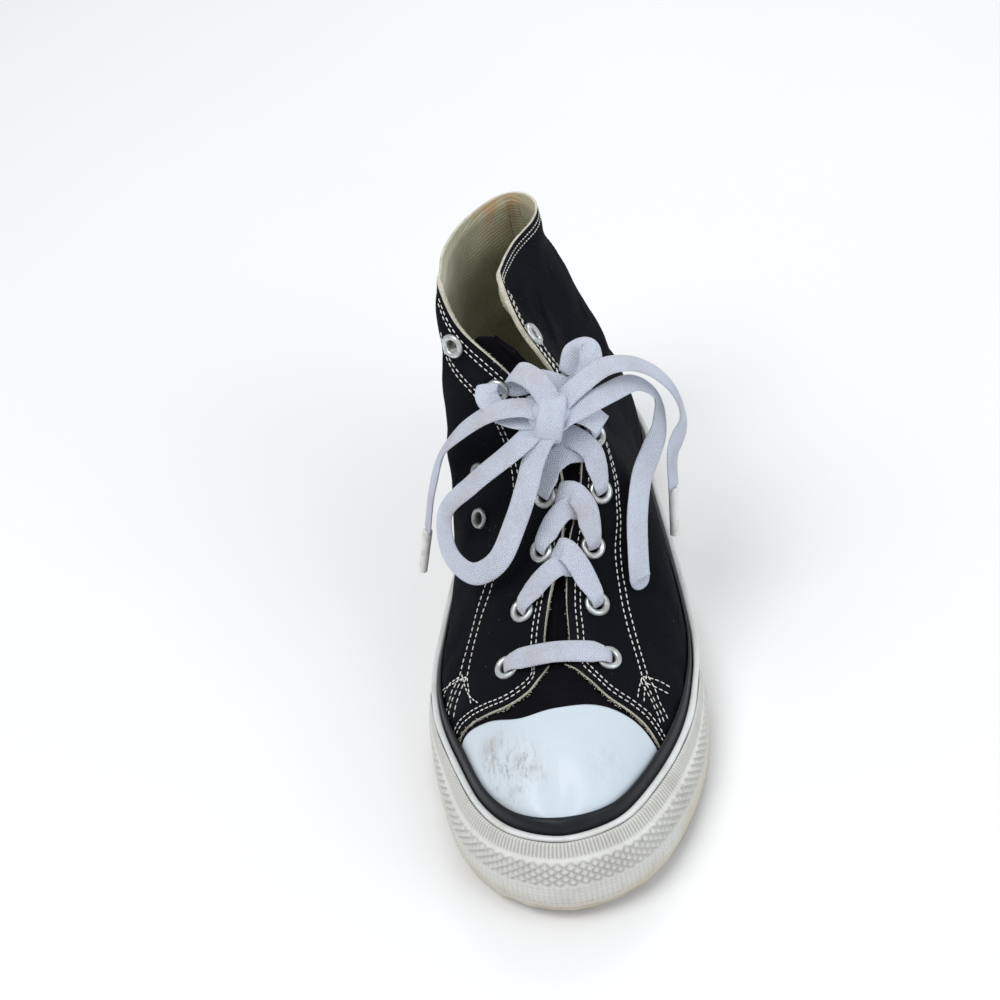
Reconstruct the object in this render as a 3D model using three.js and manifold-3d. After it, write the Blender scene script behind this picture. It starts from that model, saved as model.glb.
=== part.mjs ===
// A worn high-top canvas sneaker for the left foot, standing empty on its sole.
// The toe points to -Y, the outer side of the foot is +X, and Z is up from the floor.
// Lengths are millimetres. The body is worked out from one closed line round the last, the
// feather line, and from ribs that rise from it to the collar, the facings and the toe's ridge.
import * as THREE from "three";
import { mergeVertices } from "three/addons/utils/BufferGeometryUtils.js";
import Module from "manifold-3d";

const wasm = await Module();
wasm.setup();

// Driving dimensions of the last and the sole.
const soleLength = 273;
const ballWidth = 102;
const heelWidth = 73;
const collarHeight = 151;
const soleThickness = 13.4;
const soleEdge = 1.8;
const foxingHeight = 25;
const toeSpring = 5.5;

// Walls and layers.
const gap = 0.3;
const quarterWall = 2;
const vampWall = 1.5;
const vampStep = 1.4;
const capGap = 0.5;
const backstayRise = 0.7;
const backstayWidth = 20;
const stripeWall = 1;
const stripeWidthToe = 5;
const stripeWidthSide = 3.2;
const stripeTuck = 3;
const stripeCapGap = 0.6;
const foxingWall = 2.6;
const foxingLip = 0.5;
const lipHeight = 3.4;
const bumperWall = 8;
const bumperDrop = 0.8;
const insoleThickness = 3;
const treadRecess = 1.2;
const treadInset = 7;
const tongueWall = 2;
const tongueHalfWidth = 27;
const tongueSlump = 7;

// Fittings.
const eyeletRows = 7;
const eyeletPitch = 21;
const eyeletHole = 2.4;
const eyeletBarrel = 2.9;
const eyeletFlange = 4.7;
const eyeletCrown = 0.8;
const ventFlange = 4;
const patchRadius = 18;
const patchThickness = 0.9;
const patchDrop = 27;

// The flat lace.
const laceWidth = 8.5;
const laceThickness = 1.4;
const agletRadius = 1.9;
const agletLength = 19;

const { Vector3 } = THREE;
const up = new Vector3(0, 0, 1);

// Small helpers for numbers.
const lerp = (a, b, f) => a + (b - a) * f;
const clamp = (v, low, high) => Math.min(high, Math.max(low, v));
const smooth = (low, high, v) => {
  const f = clamp((v - low) / (high - low), 0, 1);
  return f * f * (3 - 2 * f);
};
const shareOf = (count) => (unused, i) => i / count;
const shares = (count) => Array.from({ length: count + 1 }, shareOf(count));

// A smooth function through rows of [place, value, value, ...]; period makes it run round.
function table(rows, period = 0) {
  const n = rows.length;
  const at = (i) => {
    if (!period) return rows[clamp(i, 0, n - 1)];
    const turns = Math.floor(i / n);
    const row = rows[i - turns * n];
    return [row[0] + turns * period, ...row.slice(1)];
  };
  const slope = (i, k) => {
    const [a, b] = [at(i - 1), at(i + 1)];
    return b[0] === a[0] ? 0 : (b[k] - a[k]) / (b[0] - a[0]);
  };
  return (place) => {
    const p = period ? place - Math.floor((place - rows[0][0]) / period) * period : place;
    let i = 0;
    while (i < n - 1 && at(i + 1)[0] <= p) i += 1;
    if (!period && i === n - 1) i -= 1;
    const [a, b] = [at(i), at(i + 1)];
    const h = b[0] - a[0];
    const f = clamp((p - a[0]) / h, 0, 1);
    return a.slice(1).map((unused, j) => {
      const k = j + 1;
      const [f2, f3] = [f * f, f * f * f];
      return (
        (2 * f3 - 3 * f2 + 1) * a[k] +
        (f3 - 2 * f2 + f) * h * slope(i, k) +
        (3 * f2 - 2 * f3) * b[k] +
        (f3 - f2) * h * slope(i + 1, k)
      );
    });
  };
}

// The sole's outline seen from above. Each row is a share of the length from the heel and the
// half widths of the inner and outer side, as shares of half the heel or half the ball width.
const halfHeel = heelWidth / 2;
const halfBall = ballWidth / 2;
const heelBackX = 0.16 * halfHeel;
const toeTipX = -0.04 * halfBall;
const outlineRows = [
  [0.035, 0.5 * halfHeel, 0.82 * halfHeel],
  [0.12, 0.84 * halfHeel, 1.08 * halfHeel],
  [0.24, 0.9 * halfHeel, 1.11 * halfHeel],
  [0.4, 0.83 * halfBall, 0.89 * halfBall],
  [0.55, 0.95 * halfBall, 0.97 * halfBall],
  [0.68, 1.02 * halfBall, 1.0 * halfBall],
  [0.8, 0.93 * halfBall, 0.92 * halfBall],
  [0.9, 0.77 * halfBall, 0.71 * halfBall],
  [0.97, 0.47 * halfBall, 0.42 * halfBall],
];
const yAt = (share) => soleLength * (0.5 - share);
const outlineCurve = new THREE.CatmullRomCurve3(
  [
    new Vector3(heelBackX, yAt(0), 0),
    ...outlineRows.map(([a, , x]) => new Vector3(x, yAt(a), 0)),
    new Vector3(toeTipX, yAt(1), 0),
    ...[...outlineRows].reverse().map(([a, x]) => new Vector3(-x, yAt(a), 0)),
  ],
  true,
  "centripetal",
);

// A place on the ring round the shoe is w: 0 at the back of the heel, rising along the outer
// side to 1 at the toe's tip, and on along the inner side to 2 at the heel again.
const outlineSteps = 480;
const outlinePoints = outlineCurve.getPoints(outlineSteps);
const outlineRun = [0];
for (let i = 1; i <= outlineSteps; i += 1) {
  outlineRun.push(outlineRun[i - 1] + outlinePoints[i].distanceTo(outlinePoints[i - 1]));
}
const toeRun = outlineRun[outlineSteps / 2];
const fullRun = outlineRun[outlineSteps];

function outlineAt(w) {
  const turn = ((w % 2) + 2) % 2;
  const run = turn <= 1 ? turn * toeRun : toeRun + (turn - 1) * (fullRun - toeRun);
  let i = 0;
  while (i < outlineSteps - 1 && outlineRun[i + 1] < run) i += 1;
  const f = (run - outlineRun[i]) / (outlineRun[i + 1] - outlineRun[i]);
  return outlineCurve.getPoint((i + clamp(f, 0, 1)) / outlineSteps);
}

function outlineNormal(w) {
  const step = 0.004;
  const along = outlineAt(w + step).sub(outlineAt(w - step));
  return new Vector3(along.y, -along.x, 0).normalize().negate();
}

// How far a place is from the heel towards the toe, and how much of the bumper it has.
const lengthShare = (y) => 0.5 - y / soleLength;
const bumperBack = 0.6;
const bumperFull = 0.63;
const bumperAt = (y) => smooth(bumperBack, bumperFull, lengthShare(y));
const bumperWallAt = (y) => bumperWall * lerp(0.25, 1, smooth(0.63, 0.9, lengthShare(y)));

// The underside rises at the toe, and the foxing's top follows it.
const springStart = 0.72;
function springAt(y) {
  const f = clamp((lengthShare(y) - springStart) / (1 - springStart), 0, 1);
  return toeSpring * f * f;
}
const foxingTopRows = table([
  [0, 1.04],
  [0.15, 1.0],
  [0.4, 0.93],
  [0.6, 0.9],
  [0.78, 0.98],
  [0.9, 1.1],
  [1, 1.22],
]);
const foxingTopAt = (y) => foxingHeight * foxingTopRows(lengthShare(y))[0] + springAt(y);
const soleTopAt = (y) => soleThickness + springAt(y);

// The feather line: the outline less the foxing, and less the bumper at the toe.
const foxingOffset = gap + stripeWall + gap;
const foxingLean = 0.5;
const sideInset = foxingOffset + foxingWall;
const insetAt = (y) => sideInset + bumperAt(y) * (gap + bumperWallAt(y));
function featherAt(w) {
  const p = outlineAt(w);
  return p.addScaledVector(outlineNormal(w), -insetAt(p.y));
}

// Ribs from the feather line to the top edge. Each row: share of the side from heel to toe, then
// the top point (share of half the ball for the outer and the inner side, share of the length
// from the heel, share of the collar height), the lower handle (outwards and up) and the upper
// handle (outwards for the outer and the inner side, towards the toe, down). Handles sideways
// are shares of half the ball, the others shares of the collar height.
const heelRib = [0, -0.08, -0.08, 0.055, 0.895, 0.033, 0.2, 0, 0, -0.02, 0.23];
const ribs = [
  [0.05, 0.04, -0.2, 0.068, 0.9, 0.03, 0.22, 0.08, 0.02, -0.02, 0.23],
  [0.11, 0.12, -0.36, 0.105, 0.905, 0.02, 0.25, 0.06, 0.05, -0.02, 0.24],
  [0.18, 0.095, -0.5, 0.17, 0.925, 0.014, 0.26, 0.05, 0.08, -0.01, 0.26],
  [0.25, -0.04, -0.58, 0.25, 0.955, 0.01, 0.25, 0.05, 0.08, 0, 0.26],
  [0.32, -0.11, -0.58, 0.325, 0.982, 0.01, 0.24, 0.11, 0.09, 0.01, 0.23],
  [0.37, -0.12, -0.57, 0.378, 1.0, 0.012, 0.23, 0.18, 0.12, 0.01, 0.19],
  [0.42, -0.02, -0.45, 0.415, 0.915, 0.013, 0.22, 0.27, 0.18, 0.015, 0.13],
  [0.47, 0.18, -0.13, 0.45, 0.805, 0.012, 0.19, 0.28, 0.24, 0.02, 0.1],
  [0.52, 0.31, 0.075, 0.492, 0.697, 0.012, 0.165, 0.28, 0.28, 0.018, 0.085],
  [0.57, 0.28, 0.145, 0.542, 0.592, 0.01, 0.14, 0.29, 0.3, 0.012, 0.075],
  [0.62, 0.155, 0.09, 0.597, 0.497, 0.008, 0.12, 0.33, 0.33, 0.008, 0.06],
  [0.67, 0.1, -0.03, 0.655, 0.417, 0.006, 0.105, 0.36, 0.36, 0.004, 0.045],
  [0.71, 0.09, -0.09, 0.707, 0.36, 0.005, 0.09, 0.4, 0.4, 0.002, 0.025],
  [0.745, 0.03, -0.05, 0.742, 0.34, 0.005, 0.08, 0.42, 0.42, 0.004, 0.008],
  [0.79, -0.01, -0.01, 0.78, 0.333, 0.005, 0.078, 0.42, 0.42, 0.01, 0.003],
  [0.85, -0.02, -0.02, 0.82, 0.325, 0.005, 0.075, 0.35, 0.35, 0.035, 0.008],
  [0.92, -0.03, -0.03, 0.865, 0.303, 0.005, 0.07, 0.2, 0.2, 0.058, 0.024],
];
const tipRib = [1, -0.04, -0.04, 0.905, 0.262, 0.005, 0.06, 0, 0, 0.055, 0.033];
const outerRib = ([s, xo, xi, y, z, b, h, o, i, f, d]) => [s, xo, y, z, b, h, o, f, d];
const innerRib = ([s, xo, xi, y, z, b, h, o, i, f, d]) => [2 - s, xi, y, z, b, h, -i, f, d];
const ribAt = table(
  [
    outerRib(heelRib),
    ...ribs.map(outerRib),
    outerRib(tipRib),
    ...[...ribs].reverse().map(innerRib),
  ],
  2,
);

// The two facings lean on one middle line; closed = 1 brings both sides to that line.
const middleX = table(
  [heelRib, ...ribs, tipRib].map(([s, xo, xi]) => [s, (xo + xi) / 2]),
);
const sideShare = (w) => (w <= 1 ? w : 2 - w);

// A point of the last's surface at w round the ring and t up the rib, on the outer face of the
// quarters. Below t = 0 it drops straight down behind the foxing.
function lastPoint(w, t, closed = 0) {
  const [x, y, z, b, h, o, f, d] = ribAt(w);
  const foot = featherAt(w);
  foot.z = foxingTopAt(foot.y) - stripeTuck;
  if (t <= 0) return foot.setZ(lerp(foot.z, soleTopAt(foot.y) + gap, -t));
  const topX = lerp(x, middleX(sideShare(w))[0], closed);
  const top = new Vector3(topX * halfBall, yAt(y), z * collarHeight);
  const low = foot
    .clone()
    .addScaledVector(outlineNormal(w), b * collarHeight)
    .addScaledVector(up, h * collarHeight);
  const high = top
    .clone()
    .add(new Vector3(o * halfBall, -f * collarHeight, -d * collarHeight));
  return new THREE.CubicBezierCurve3(foot, low, high, top).getPoint(t);
}

function lastNormal(w, t, closed = 0) {
  const [dw, dt] = [0.003, 0.01];
  const lowT = Math.min(Math.max(t - dt, 0), 1 - 2 * dt);
  const along = lastPoint(w + dw, t, closed).sub(lastPoint(w - dw, t, closed));
  const rise = lastPoint(w, lowT + 2 * dt, closed).sub(lastPoint(w, lowT, closed));
  if (t <= 0) return outlineNormal(w);
  // The ridge doubles back at the toe's tip, so the ribs' shared end looks across instead.
  if (along.length() < 0.05) along.set(-1, 0, 0);
  return rise.cross(along).normalize();
}

const layerPoint = (w, t, offset, closed = 0) =>
  lastPoint(w, t, closed).addScaledVector(lastNormal(w, t, closed), offset);

// The rib's share at a distance from its top.
function shareBelowTop(w, distance) {
  const steps = 200;
  let [run, before] = [0, lastPoint(w, 1)];
  for (let i = 1; i <= steps; i += 1) {
    const here = lastPoint(w, 1 - i / steps);
    run += here.distanceTo(before);
    if (run >= distance) return 1 - i / steps;
    before = here;
  }
  return 0;
}

// A closed geometry of points and triangles that faces out whichever way its sheets run.
function geometryOf(points, faces) {
  const volume = faces.reduce(
    (sum, [a, b, c]) => sum + points[a].dot(points[b].clone().cross(points[c])),
    0,
  );
  const turned = volume < 0 ? faces.map(([a, b, c]) => [a, c, b]) : faces;
  const g = new THREE.BufferGeometry();
  const numbers = points.flatMap((p) => [p.x, p.y, p.z]);
  g.setAttribute("position", new THREE.Float32BufferAttribute(numbers, 3));
  g.setIndex(turned.flat());
  return g;
}

// A closed wall between an outer and an inner sheet of points, both rows of columns. A ring
// joins its last column to its first, and a dome's last column folds onto itself.
function wall(outer, inner, form = "sheet") {
  const [rows, columns] = [outer.length, outer[0].length];
  const ring = form === "ring";
  const points = [...outer.flat(), ...inner.flat()];
  const faces = [];
  const id = (layer, r, c) => (layer * rows + r) * columns + (c % columns);
  const quad = (a, b, c, d) => faces.push([a, b, c], [a, c, d]);
  const edge = rows - 1;
  for (let c = 0; c < (ring ? columns : columns - 1); c += 1) {
    for (let r = 0; r < edge; r += 1) {
      quad(id(0, r, c), id(0, r, c + 1), id(0, r + 1, c + 1), id(0, r + 1, c));
      quad(id(1, r, c), id(1, r + 1, c), id(1, r + 1, c + 1), id(1, r, c + 1));
    }
    quad(id(0, 0, c + 1), id(0, 0, c), id(1, 0, c), id(1, 0, c + 1));
    quad(id(0, edge, c), id(0, edge, c + 1), id(1, edge, c + 1), id(1, edge, c));
  }
  if (ring) return geometryOf(points, faces);
  const e = columns - 1;
  for (let r = 0; r < edge; r += 1) {
    quad(id(0, r, 0), id(0, r + 1, 0), id(1, r + 1, 0), id(1, r, 0));
    if (form === "sheet") quad(id(0, r + 1, e), id(0, r, e), id(1, r, e), id(1, r + 1, e));
  }
  return geometryOf(points, faces);
}

function solidOf(geometry) {
  const bare = geometry.clone();
  bare.deleteAttribute("normal");
  bare.deleteAttribute("uv");
  const merged = mergeVertices(bare, 1e-3);
  const index = merged.index.array;
  const kept = [];
  for (let i = 0; i < index.length; i += 3) {
    const [a, b, c] = index.slice(i, i + 3);
    if (a !== b && b !== c && c !== a) kept.push(a, b, c);
  }
  return new wasm.Manifold(
    new wasm.Mesh({
      numProp: 3,
      vertProperties: merged.attributes.position.array,
      triVerts: new Uint32Array(kept),
    }),
  );
}

function geometryFrom(solid) {
  const mesh = solid.getMesh();
  const g = new THREE.BufferGeometry();
  g.setAttribute("position", new THREE.BufferAttribute(mesh.vertProperties, 3));
  g.setIndex(new THREE.BufferAttribute(mesh.triVerts, 1));
  return g;
}

const grid = (rows, columns, pointAt) => rows.map((r) => columns.map((c) => pointAt(r, c)));

const shoe = new THREE.Group();
const finishes = {
  canvas: { color: 0x17181c, roughness: 0.95 },
  lining: { color: 0xcfc9ac, roughness: 0.95 },
  whiteRubber: { color: 0xdcdcd6, roughness: 0.6 },
  blackRubber: { color: 0x14171b, roughness: 0.55 },
  patch: { color: 0xd9dbd2, roughness: 0.6 },
  lace: { color: 0xdde2ee, roughness: 0.9 },
  metal: { color: 0xc4c6c4, roughness: 0.35, metalness: 0.9 },
  tip: { color: 0xe4e4e0, roughness: 0.4 },
};
function add(name, geometry, finish) {
  const material = new THREE.MeshStandardMaterial(finishes[finish]);
  const mesh = new THREE.Mesh(geometry, material);
  mesh.name = name;
  shoe.add(mesh);
  return mesh;
}

// Where the facings stop at the throat, the quarters' front edge swings out to the cap's corners.
const throatEnd = 0.735;
const cornerShare = 0.37;
const capTop = 0.82;
const quarterEdge = table([
  [-1, 0.777, 0.732],
  [0, 0.778, 0.732],
  [0.24, 0.779, 0.733],
  [0.4, 0.778, 0.744],
  [0.54, 0.78, 0.758],
  [0.7, 0.777, 0.774],
  [0.84, 0.757, 0.77],
  [0.93, 0.742, 0.75],
  [1, throatEnd, throatEnd],
]);
const capEdge = table([
  [-1, 0.785, 0.742],
  [0, 0.785, 0.74],
  [0.26, 0.785, 0.741],
  [0.5, 0.786, 0.765],
  [0.76, 0.797, 0.808],
  [1, capTop, capTop],
]);

// Places along a side from the heel to the toe that every ring and wall shares.
const stayShare = backstayWidth / 2 / toeRun;
const sideShares = [
  0, stayShare * 0.94, stayShare * 1.06, 0.1, 0.155, 0.21, 0.265, 0.32, 0.37, 0.42, 0.47, 0.52,
  0.565, 0.6, 0.65, 0.7, 0.75, 0.79, 0.83, 0.87, 0.91, 0.95, 0.98, 1,
];
const ringPlaces = [...sideShares, ...sideShares.slice(1, -1).reverse().map((s) => 2 - s)];
const backstayAt = (s) => (Math.abs(s) < stayShare ? backstayRise : 0);
const ringShare = (w) => (w <= 1 ? w : w - 2);

// The quarters: one wall from the inner front edge round the heel to the outer one, with the
// backstay as a step in it.
const bodyRows = [-1, ...shares(9)];
const quarterBend = 0.6;
function quarterPlaces() {
  const back = sideShares.filter((s) => s <= quarterBend).map((s) => () => s);
  const swung = (side) => (f) => (t) => lerp(quarterBend, quarterEdge(t)[side], f);
  const front = [0.27, 0.52, 0.77, 1];
  const outer = [...back, ...front.map(swung(0))];
  const inner = [...back.slice(1), ...front.map(swung(1))].map((at) => (t) => -at(t));
  return [...inner.reverse(), ...outer];
}
const quarterSheet = (offset) =>
  grid(bodyRows, quarterPlaces(), (t, at) => {
    const s = at(t);
    return layerPoint(s, t, offset < 0 ? offset : offset + backstayAt(s));
  });

// A dome over the toe: its columns are places on both sides, from a back edge to the toe's tip,
// and its rows rise on the outer side, cross the ridge and go down the inner side.
function dome(columns, low, high) {
  const rise = bodyRows.map((t) => [t, false]);
  const fall = [...bodyRows].reverse().slice(1).map((t) => [t, true]);
  const sheet = (offset) =>
    grid([...rise, ...fall], columns, ([t, inner], placesAt) => {
      const [outerShare, innerShare] = placesAt(t);
      const outerPoint = layerPoint(outerShare, t, offset, 1);
      const innerPoint = layerPoint(2 - innerShare, t, offset, 1);
      if (t === 1) return outerPoint.lerp(innerPoint, 0.5);
      return inner ? innerPoint : outerPoint;
    });
  return wall(sheet(high), sheet(low), "dome");
}
const capColumns = shares(7).map((f) => (t) => capEdge(t).map((edge) => lerp(edge, 1, f)));

// The vamp: a thinner wall under the quarters' front edge and the toe cap.
const vampBack = table([
  [-1, 0.73, 0.69],
  [0.3, 0.735, 0.695],
  [0.7, 0.73, 0.72],
  [1, throatEnd - 0.012, throatEnd - 0.012],
]);
const vampColumns = [0, 0.5].map(
  (f) => (t) => vampBack(t).map((edge, side) => lerp(edge, capEdge(t)[side], f)),
);
const vampLow = -vampStep - vampWall;
const vamp = solidOf(dome([...vampColumns, ...capColumns], vampLow, -vampStep));
const quarters = solidOf(wall(quarterSheet(0), quarterSheet(-quarterWall)));

// Eyelets stand in a row beside each facing, a pitch apart, and two more vent the inner side.
function edgeShareAt(distance) {
  const steps = 400;
  let [run, before] = [0, lastPoint(throatEnd, 1)];
  for (let i = 1; i <= steps; i += 1) {
    const s = throatEnd - (i / steps) * (throatEnd - cornerShare);
    const here = lastPoint(s, 1);
    run += here.distanceTo(before);
    if (run >= distance) return s;
    before = here;
  }
  return cornerShare;
}
const firstEyelet = 5.5;
const eyeletMargins = table([
  [0, 14.5],
  [1, 11.5],
  [2, 9],
  [3, 8.5],
  [6, 8],
]);
const laceEyelets = Array.from({ length: eyeletRows }, (unused, row) => {
  const s = edgeShareAt(firstEyelet + row * eyeletPitch);
  const margin = eyeletMargins(row)[0];
  return [s, 2 - s].map((w) => [w, shareBelowTop(w, margin)]);
});
const ventEyelets = [
  [2 - 0.482, 0.6],
  [2 - 0.512, 0.52],
];

// Turns a lathed piece so that its axis stands on the upper at a place.
function standOn(geometry, [w, t]) {
  const turn = new THREE.Quaternion().setFromUnitVectors(new Vector3(0, 1, 0), lastNormal(w, t));
  const spot = lastPoint(w, t);
  return geometry.applyQuaternion(turn).translate(spot.x, spot.y, spot.z);
}
const roundSides = 8;
function latheOf(profile) {
  const points = profile.map(([r, h]) => new THREE.Vector2(r, h));
  return new THREE.LatheGeometry(points, roundSides);
}
function holeThrough(place) {
  const radius = eyeletBarrel + gap;
  const drill = new THREE.CylinderGeometry(radius, radius, 6 * quarterWall, roundSides);
  return solidOf(standOn(drill, place));
}
const flangeSeat = 0.95;
function eyelet(place, flange) {
  const [low, high] = [-quarterWall - gap, flangeSeat + eyeletCrown];
  const profile = [
    [eyeletHole, low],
    [eyeletBarrel, low],
    [eyeletBarrel, flangeSeat],
    [flange, flangeSeat],
    [eyeletHole, high],
    [eyeletHole, low],
  ];
  return standOn(latheOf(profile), place);
}
const allEyelets = [...laceEyelets.flat(), ...ventEyelets];
const upper = allEyelets.reduce(
  (body, place) => body.subtract(holeThrough(place)),
  quarters.add(vamp),
);
add("upper", geometryFrom(upper), "canvas");
laceEyelets.forEach((pair, row) => {
  add(`eyelet_outer_${row + 1}`, eyelet(pair[0], eyeletFlange), "metal");
  add(`eyelet_inner_${row + 1}`, eyelet(pair[1], eyeletFlange), "metal");
});
ventEyelets.forEach((place, i) => add(`eyelet_vent_${i + 1}`, eyelet(place, ventFlange), "metal"));

// The white toe cap over the vamp, as high as the quarters' face.
add("toe_cap", dome(capColumns, capGap - vampStep, 0), "whiteRubber");

// The rib's share at a distance above the feather line.
function shareAboveFoot(w, distance) {
  const steps = 120;
  let [run, before] = [0, lastPoint(w, 0)];
  for (let i = 1; i <= steps; i += 1) {
    const here = lastPoint(w, i / steps);
    run += here.distanceTo(before);
    if (run >= distance) return i / steps;
    before = here;
  }
  return 1;
}

// The black stripe covers the seam between the upper and the foxing.
function stripeWidthAt(s) {
  return lerp(stripeWidthSide, stripeWidthToe, smooth(0.55, 0.75, Math.abs(s)));
}
function stripeSheet(offset) {
  return grid([0, 0.5, 1], ringPlaces, (f, w) => {
    const s = ringShare(w);
    const t = shareAboveFoot(w, f * (stripeTuck + stripeWidthAt(s)));
    const cleared = stripeCapGap * smooth(0.58, 0.66, Math.abs(s)) * (0.4 + 0.6 * f);
    return layerPoint(w, t, backstayAt(s) + offset + cleared);
  });
}
add("toe_stripe", wall(stripeSheet(gap + stripeWall), stripeSheet(gap), "ring"), "blackRubber");

// The foxing: a band round the shoe with a thicker lip along its top.
const soleEdgeTopAt = (y) => treadRecess + soleEdge + springAt(y);
function bandPoint(w, out, z) {
  const p = featherAt(w).addScaledVector(outlineNormal(w), out);
  return p.setZ(z(p.y));
}
const foxingBottomAt = (y) => soleEdgeTopAt(y) + gap;
const foxingOuterRows = [
  [sideInset - foxingLip, foxingBottomAt, 0],
  [sideInset - foxingLip, (y) => foxingTopAt(y) - lipHeight - foxingLip, 0],
  [sideInset, (y) => foxingTopAt(y) - lipHeight, foxingLean],
  [sideInset, foxingTopAt, foxingLean],
];
const foxingOuter = grid(foxingOuterRows, ringPlaces, ([out, z], w) => bandPoint(w, out, z));
const foxingInner = grid(foxingOuterRows, ringPlaces, ([, z, lean], w) => {
  return bandPoint(w, foxingOffset + backstayAt(ringShare(w)) + lean, z);
});
add("foxing", wall(foxingOuter, foxingInner, "ring"), "whiteRubber");

// The toe bumper lies on the foxing: a knurled foot, a thick band and a thinner ribbed band.
function shareWhereLength(share) {
  let [low, high] = [0, 1];
  for (let i = 0; i < 24; i += 1) {
    const middle = (low + high) / 2;
    if (lengthShare(outlineAt(middle).y) < share) low = middle;
    else high = middle;
  }
  return low;
}
const bumperStart = shareWhereLength(lerp(bumperBack, bumperFull, 0.6));
const bumperSection = [
  [0, 0.94],
  [0.2, 1],
  [0.4, 0.95],
  [0.68, 0.78],
  [0.72, 0.5],
  [1, 0.38],
];
const bumperTopAt = (y) => foxingTopAt(y) - lipHeight - bumperDrop;
function bumperPoint(w, rise, out) {
  const inner = sideInset + gap;
  const outer = lerp(inner, insetAt(featherAt(w).y), out);
  return bandPoint(w, outer, (y) => lerp(foxingBottomAt(y), bumperTopAt(y), rise));
}
const bumperPlaces = shares(22).map((f) => lerp(bumperStart, 2 - bumperStart, f));
const bumperOuter = grid(bumperSection, bumperPlaces, ([rise, out], w) => bumperPoint(w, rise, out));
const bumperInner = grid(bumperSection, bumperPlaces, ([rise], w) => bumperPoint(w, rise, 0));
add("toe_bumper", wall(bumperOuter, bumperInner), "whiteRubber");

// A plate across the shoe between both sides of a line set in from the feather line.
function plate(offset, from, to, topAt, bottomAt) {
  const inRange = sideShares.filter((s) => s > from && s < to);
  const across = (height) =>
    grid([from, ...inRange, to], [0, 0.5, 1], (s, f) => {
      const [a, b] = [s, 2 - s].map((w) => bandPoint(w, offset(featherAt(w).y), () => 0));
      const p = a.lerp(b, f);
      return p.setZ(height(p.y));
    });
  return wall(across(topAt), across(bottomAt));
}
const plateBottomAt = (y) => treadRecess + springAt(y);
const edgeInset = 0.8;
const base = solidOf(plate((y) => insetAt(y) - edgeInset, 0, 1, soleEdgeTopAt, plateBottomAt));
const core = solidOf(plate(() => foxingOffset - gap, 0, 1, soleTopAt, plateBottomAt));
const pad = (from, to) =>
  solidOf(plate((y) => insetAt(y) - treadInset, from, to, soleEdgeTopAt, springAt));
const heelPad = pad(0, 0.25);
const forePad = pad(0.5, 1);
const outsole = base.add(core).add(heelPad).add(forePad);
add("outsole", geometryFrom(outsole), "whiteRubber");

// The insole lies on the sole inside the upper.
const insoleInset = -vampLow + 2 * gap;
const insoleBottomAt = (y) => soleTopAt(y) + gap;
const insoleTopAt = (y) => insoleBottomAt(y) + insoleThickness;
add("insole", plate(() => -insoleInset, 0, 1, insoleTopAt, insoleBottomAt), "lining");

// The tongue: a sheet under both facings from below the vamp to the collar, slumped at its top.
const tongueTop = 0.43;
const tongueFoot = 0.752;
const tongueDepth = -vampLow + gap + 0.2;
function tonguePoint(f, inner, across, depth) {
  const s = lerp(tongueTop, tongueFoot, f);
  const w = inner ? 2 - s : s;
  const width = tongueHalfWidth * lerp(1, 0.62, f);
  const t = lerp(shareBelowTop(w, width), 1, across);
  const sag = tongueSlump * smooth(0.45, 0, f) * (0.3 + 0.7 * across);
  return layerPoint(w, t, -depth - sag, smooth(0.62, 0.72, s));
}
const tongueSheet = (depth) =>
  shares(9).map((f) => {
    const side = (inner) => [0, 0.33, 0.66, 1].map((a) => tonguePoint(f, inner, a, depth));
    const [outer, inner] = [side(false), side(true)];
    const middle = outer[3].clone().lerp(inner[3], 0.5);
    return [...outer, middle, ...inner.reverse()];
  });
add("tongue", wall(tongueSheet(tongueDepth), tongueSheet(tongueDepth + tongueWall)), "canvas");

// A round bare patch on the inner side of the ankle, cut to the quarters' face.
const patchPlace = 2 - 0.27;
function patchPoint(r, angle, offset) {
  const [w, t] = [patchPlace, shareBelowTop(patchPlace, patchDrop)];
  const step = 0.01;
  const centre = lastPoint(w, t);
  const perW = lastPoint(w + step, t).sub(centre).divideScalar(step);
  const perT = lastPoint(w, t + step).sub(centre).divideScalar(step);
  const across = lastNormal(w, t).cross(up).normalize();
  const rise = across.clone().cross(lastNormal(w, t)).negate();
  const [x, y] = [r * Math.cos(angle), r * Math.sin(angle)];
  const [a, b, c, d] = [perW.dot(across), perT.dot(across), perW.dot(rise), perT.dot(rise)];
  const scale = a * d - b * c;
  return layerPoint(w + (x * d - b * y) / scale, t + (a * y - c * x) / scale, offset);
}
const patchSides = 20;
const patchAngles = Array.from({ length: patchSides }, shareOf(patchSides)).map((f) => f * 2 * Math.PI);
const patchRings = shares(2).map((f) => f * patchRadius);
const patchSheet = (offset) => grid(patchRings, patchAngles, (r, a) => patchPoint(r, a, offset));
const patchDisc = solidOf(wall(patchSheet(gap + patchThickness), patchSheet(-gap), "ring"));
const quarterRoom = solidOf(wall(quarterSheet(gap), quarterSheet(-quarterWall)));
add("ankle_patch", geometryFrom(patchDisc.subtract(quarterRoom)), "patch");

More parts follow.
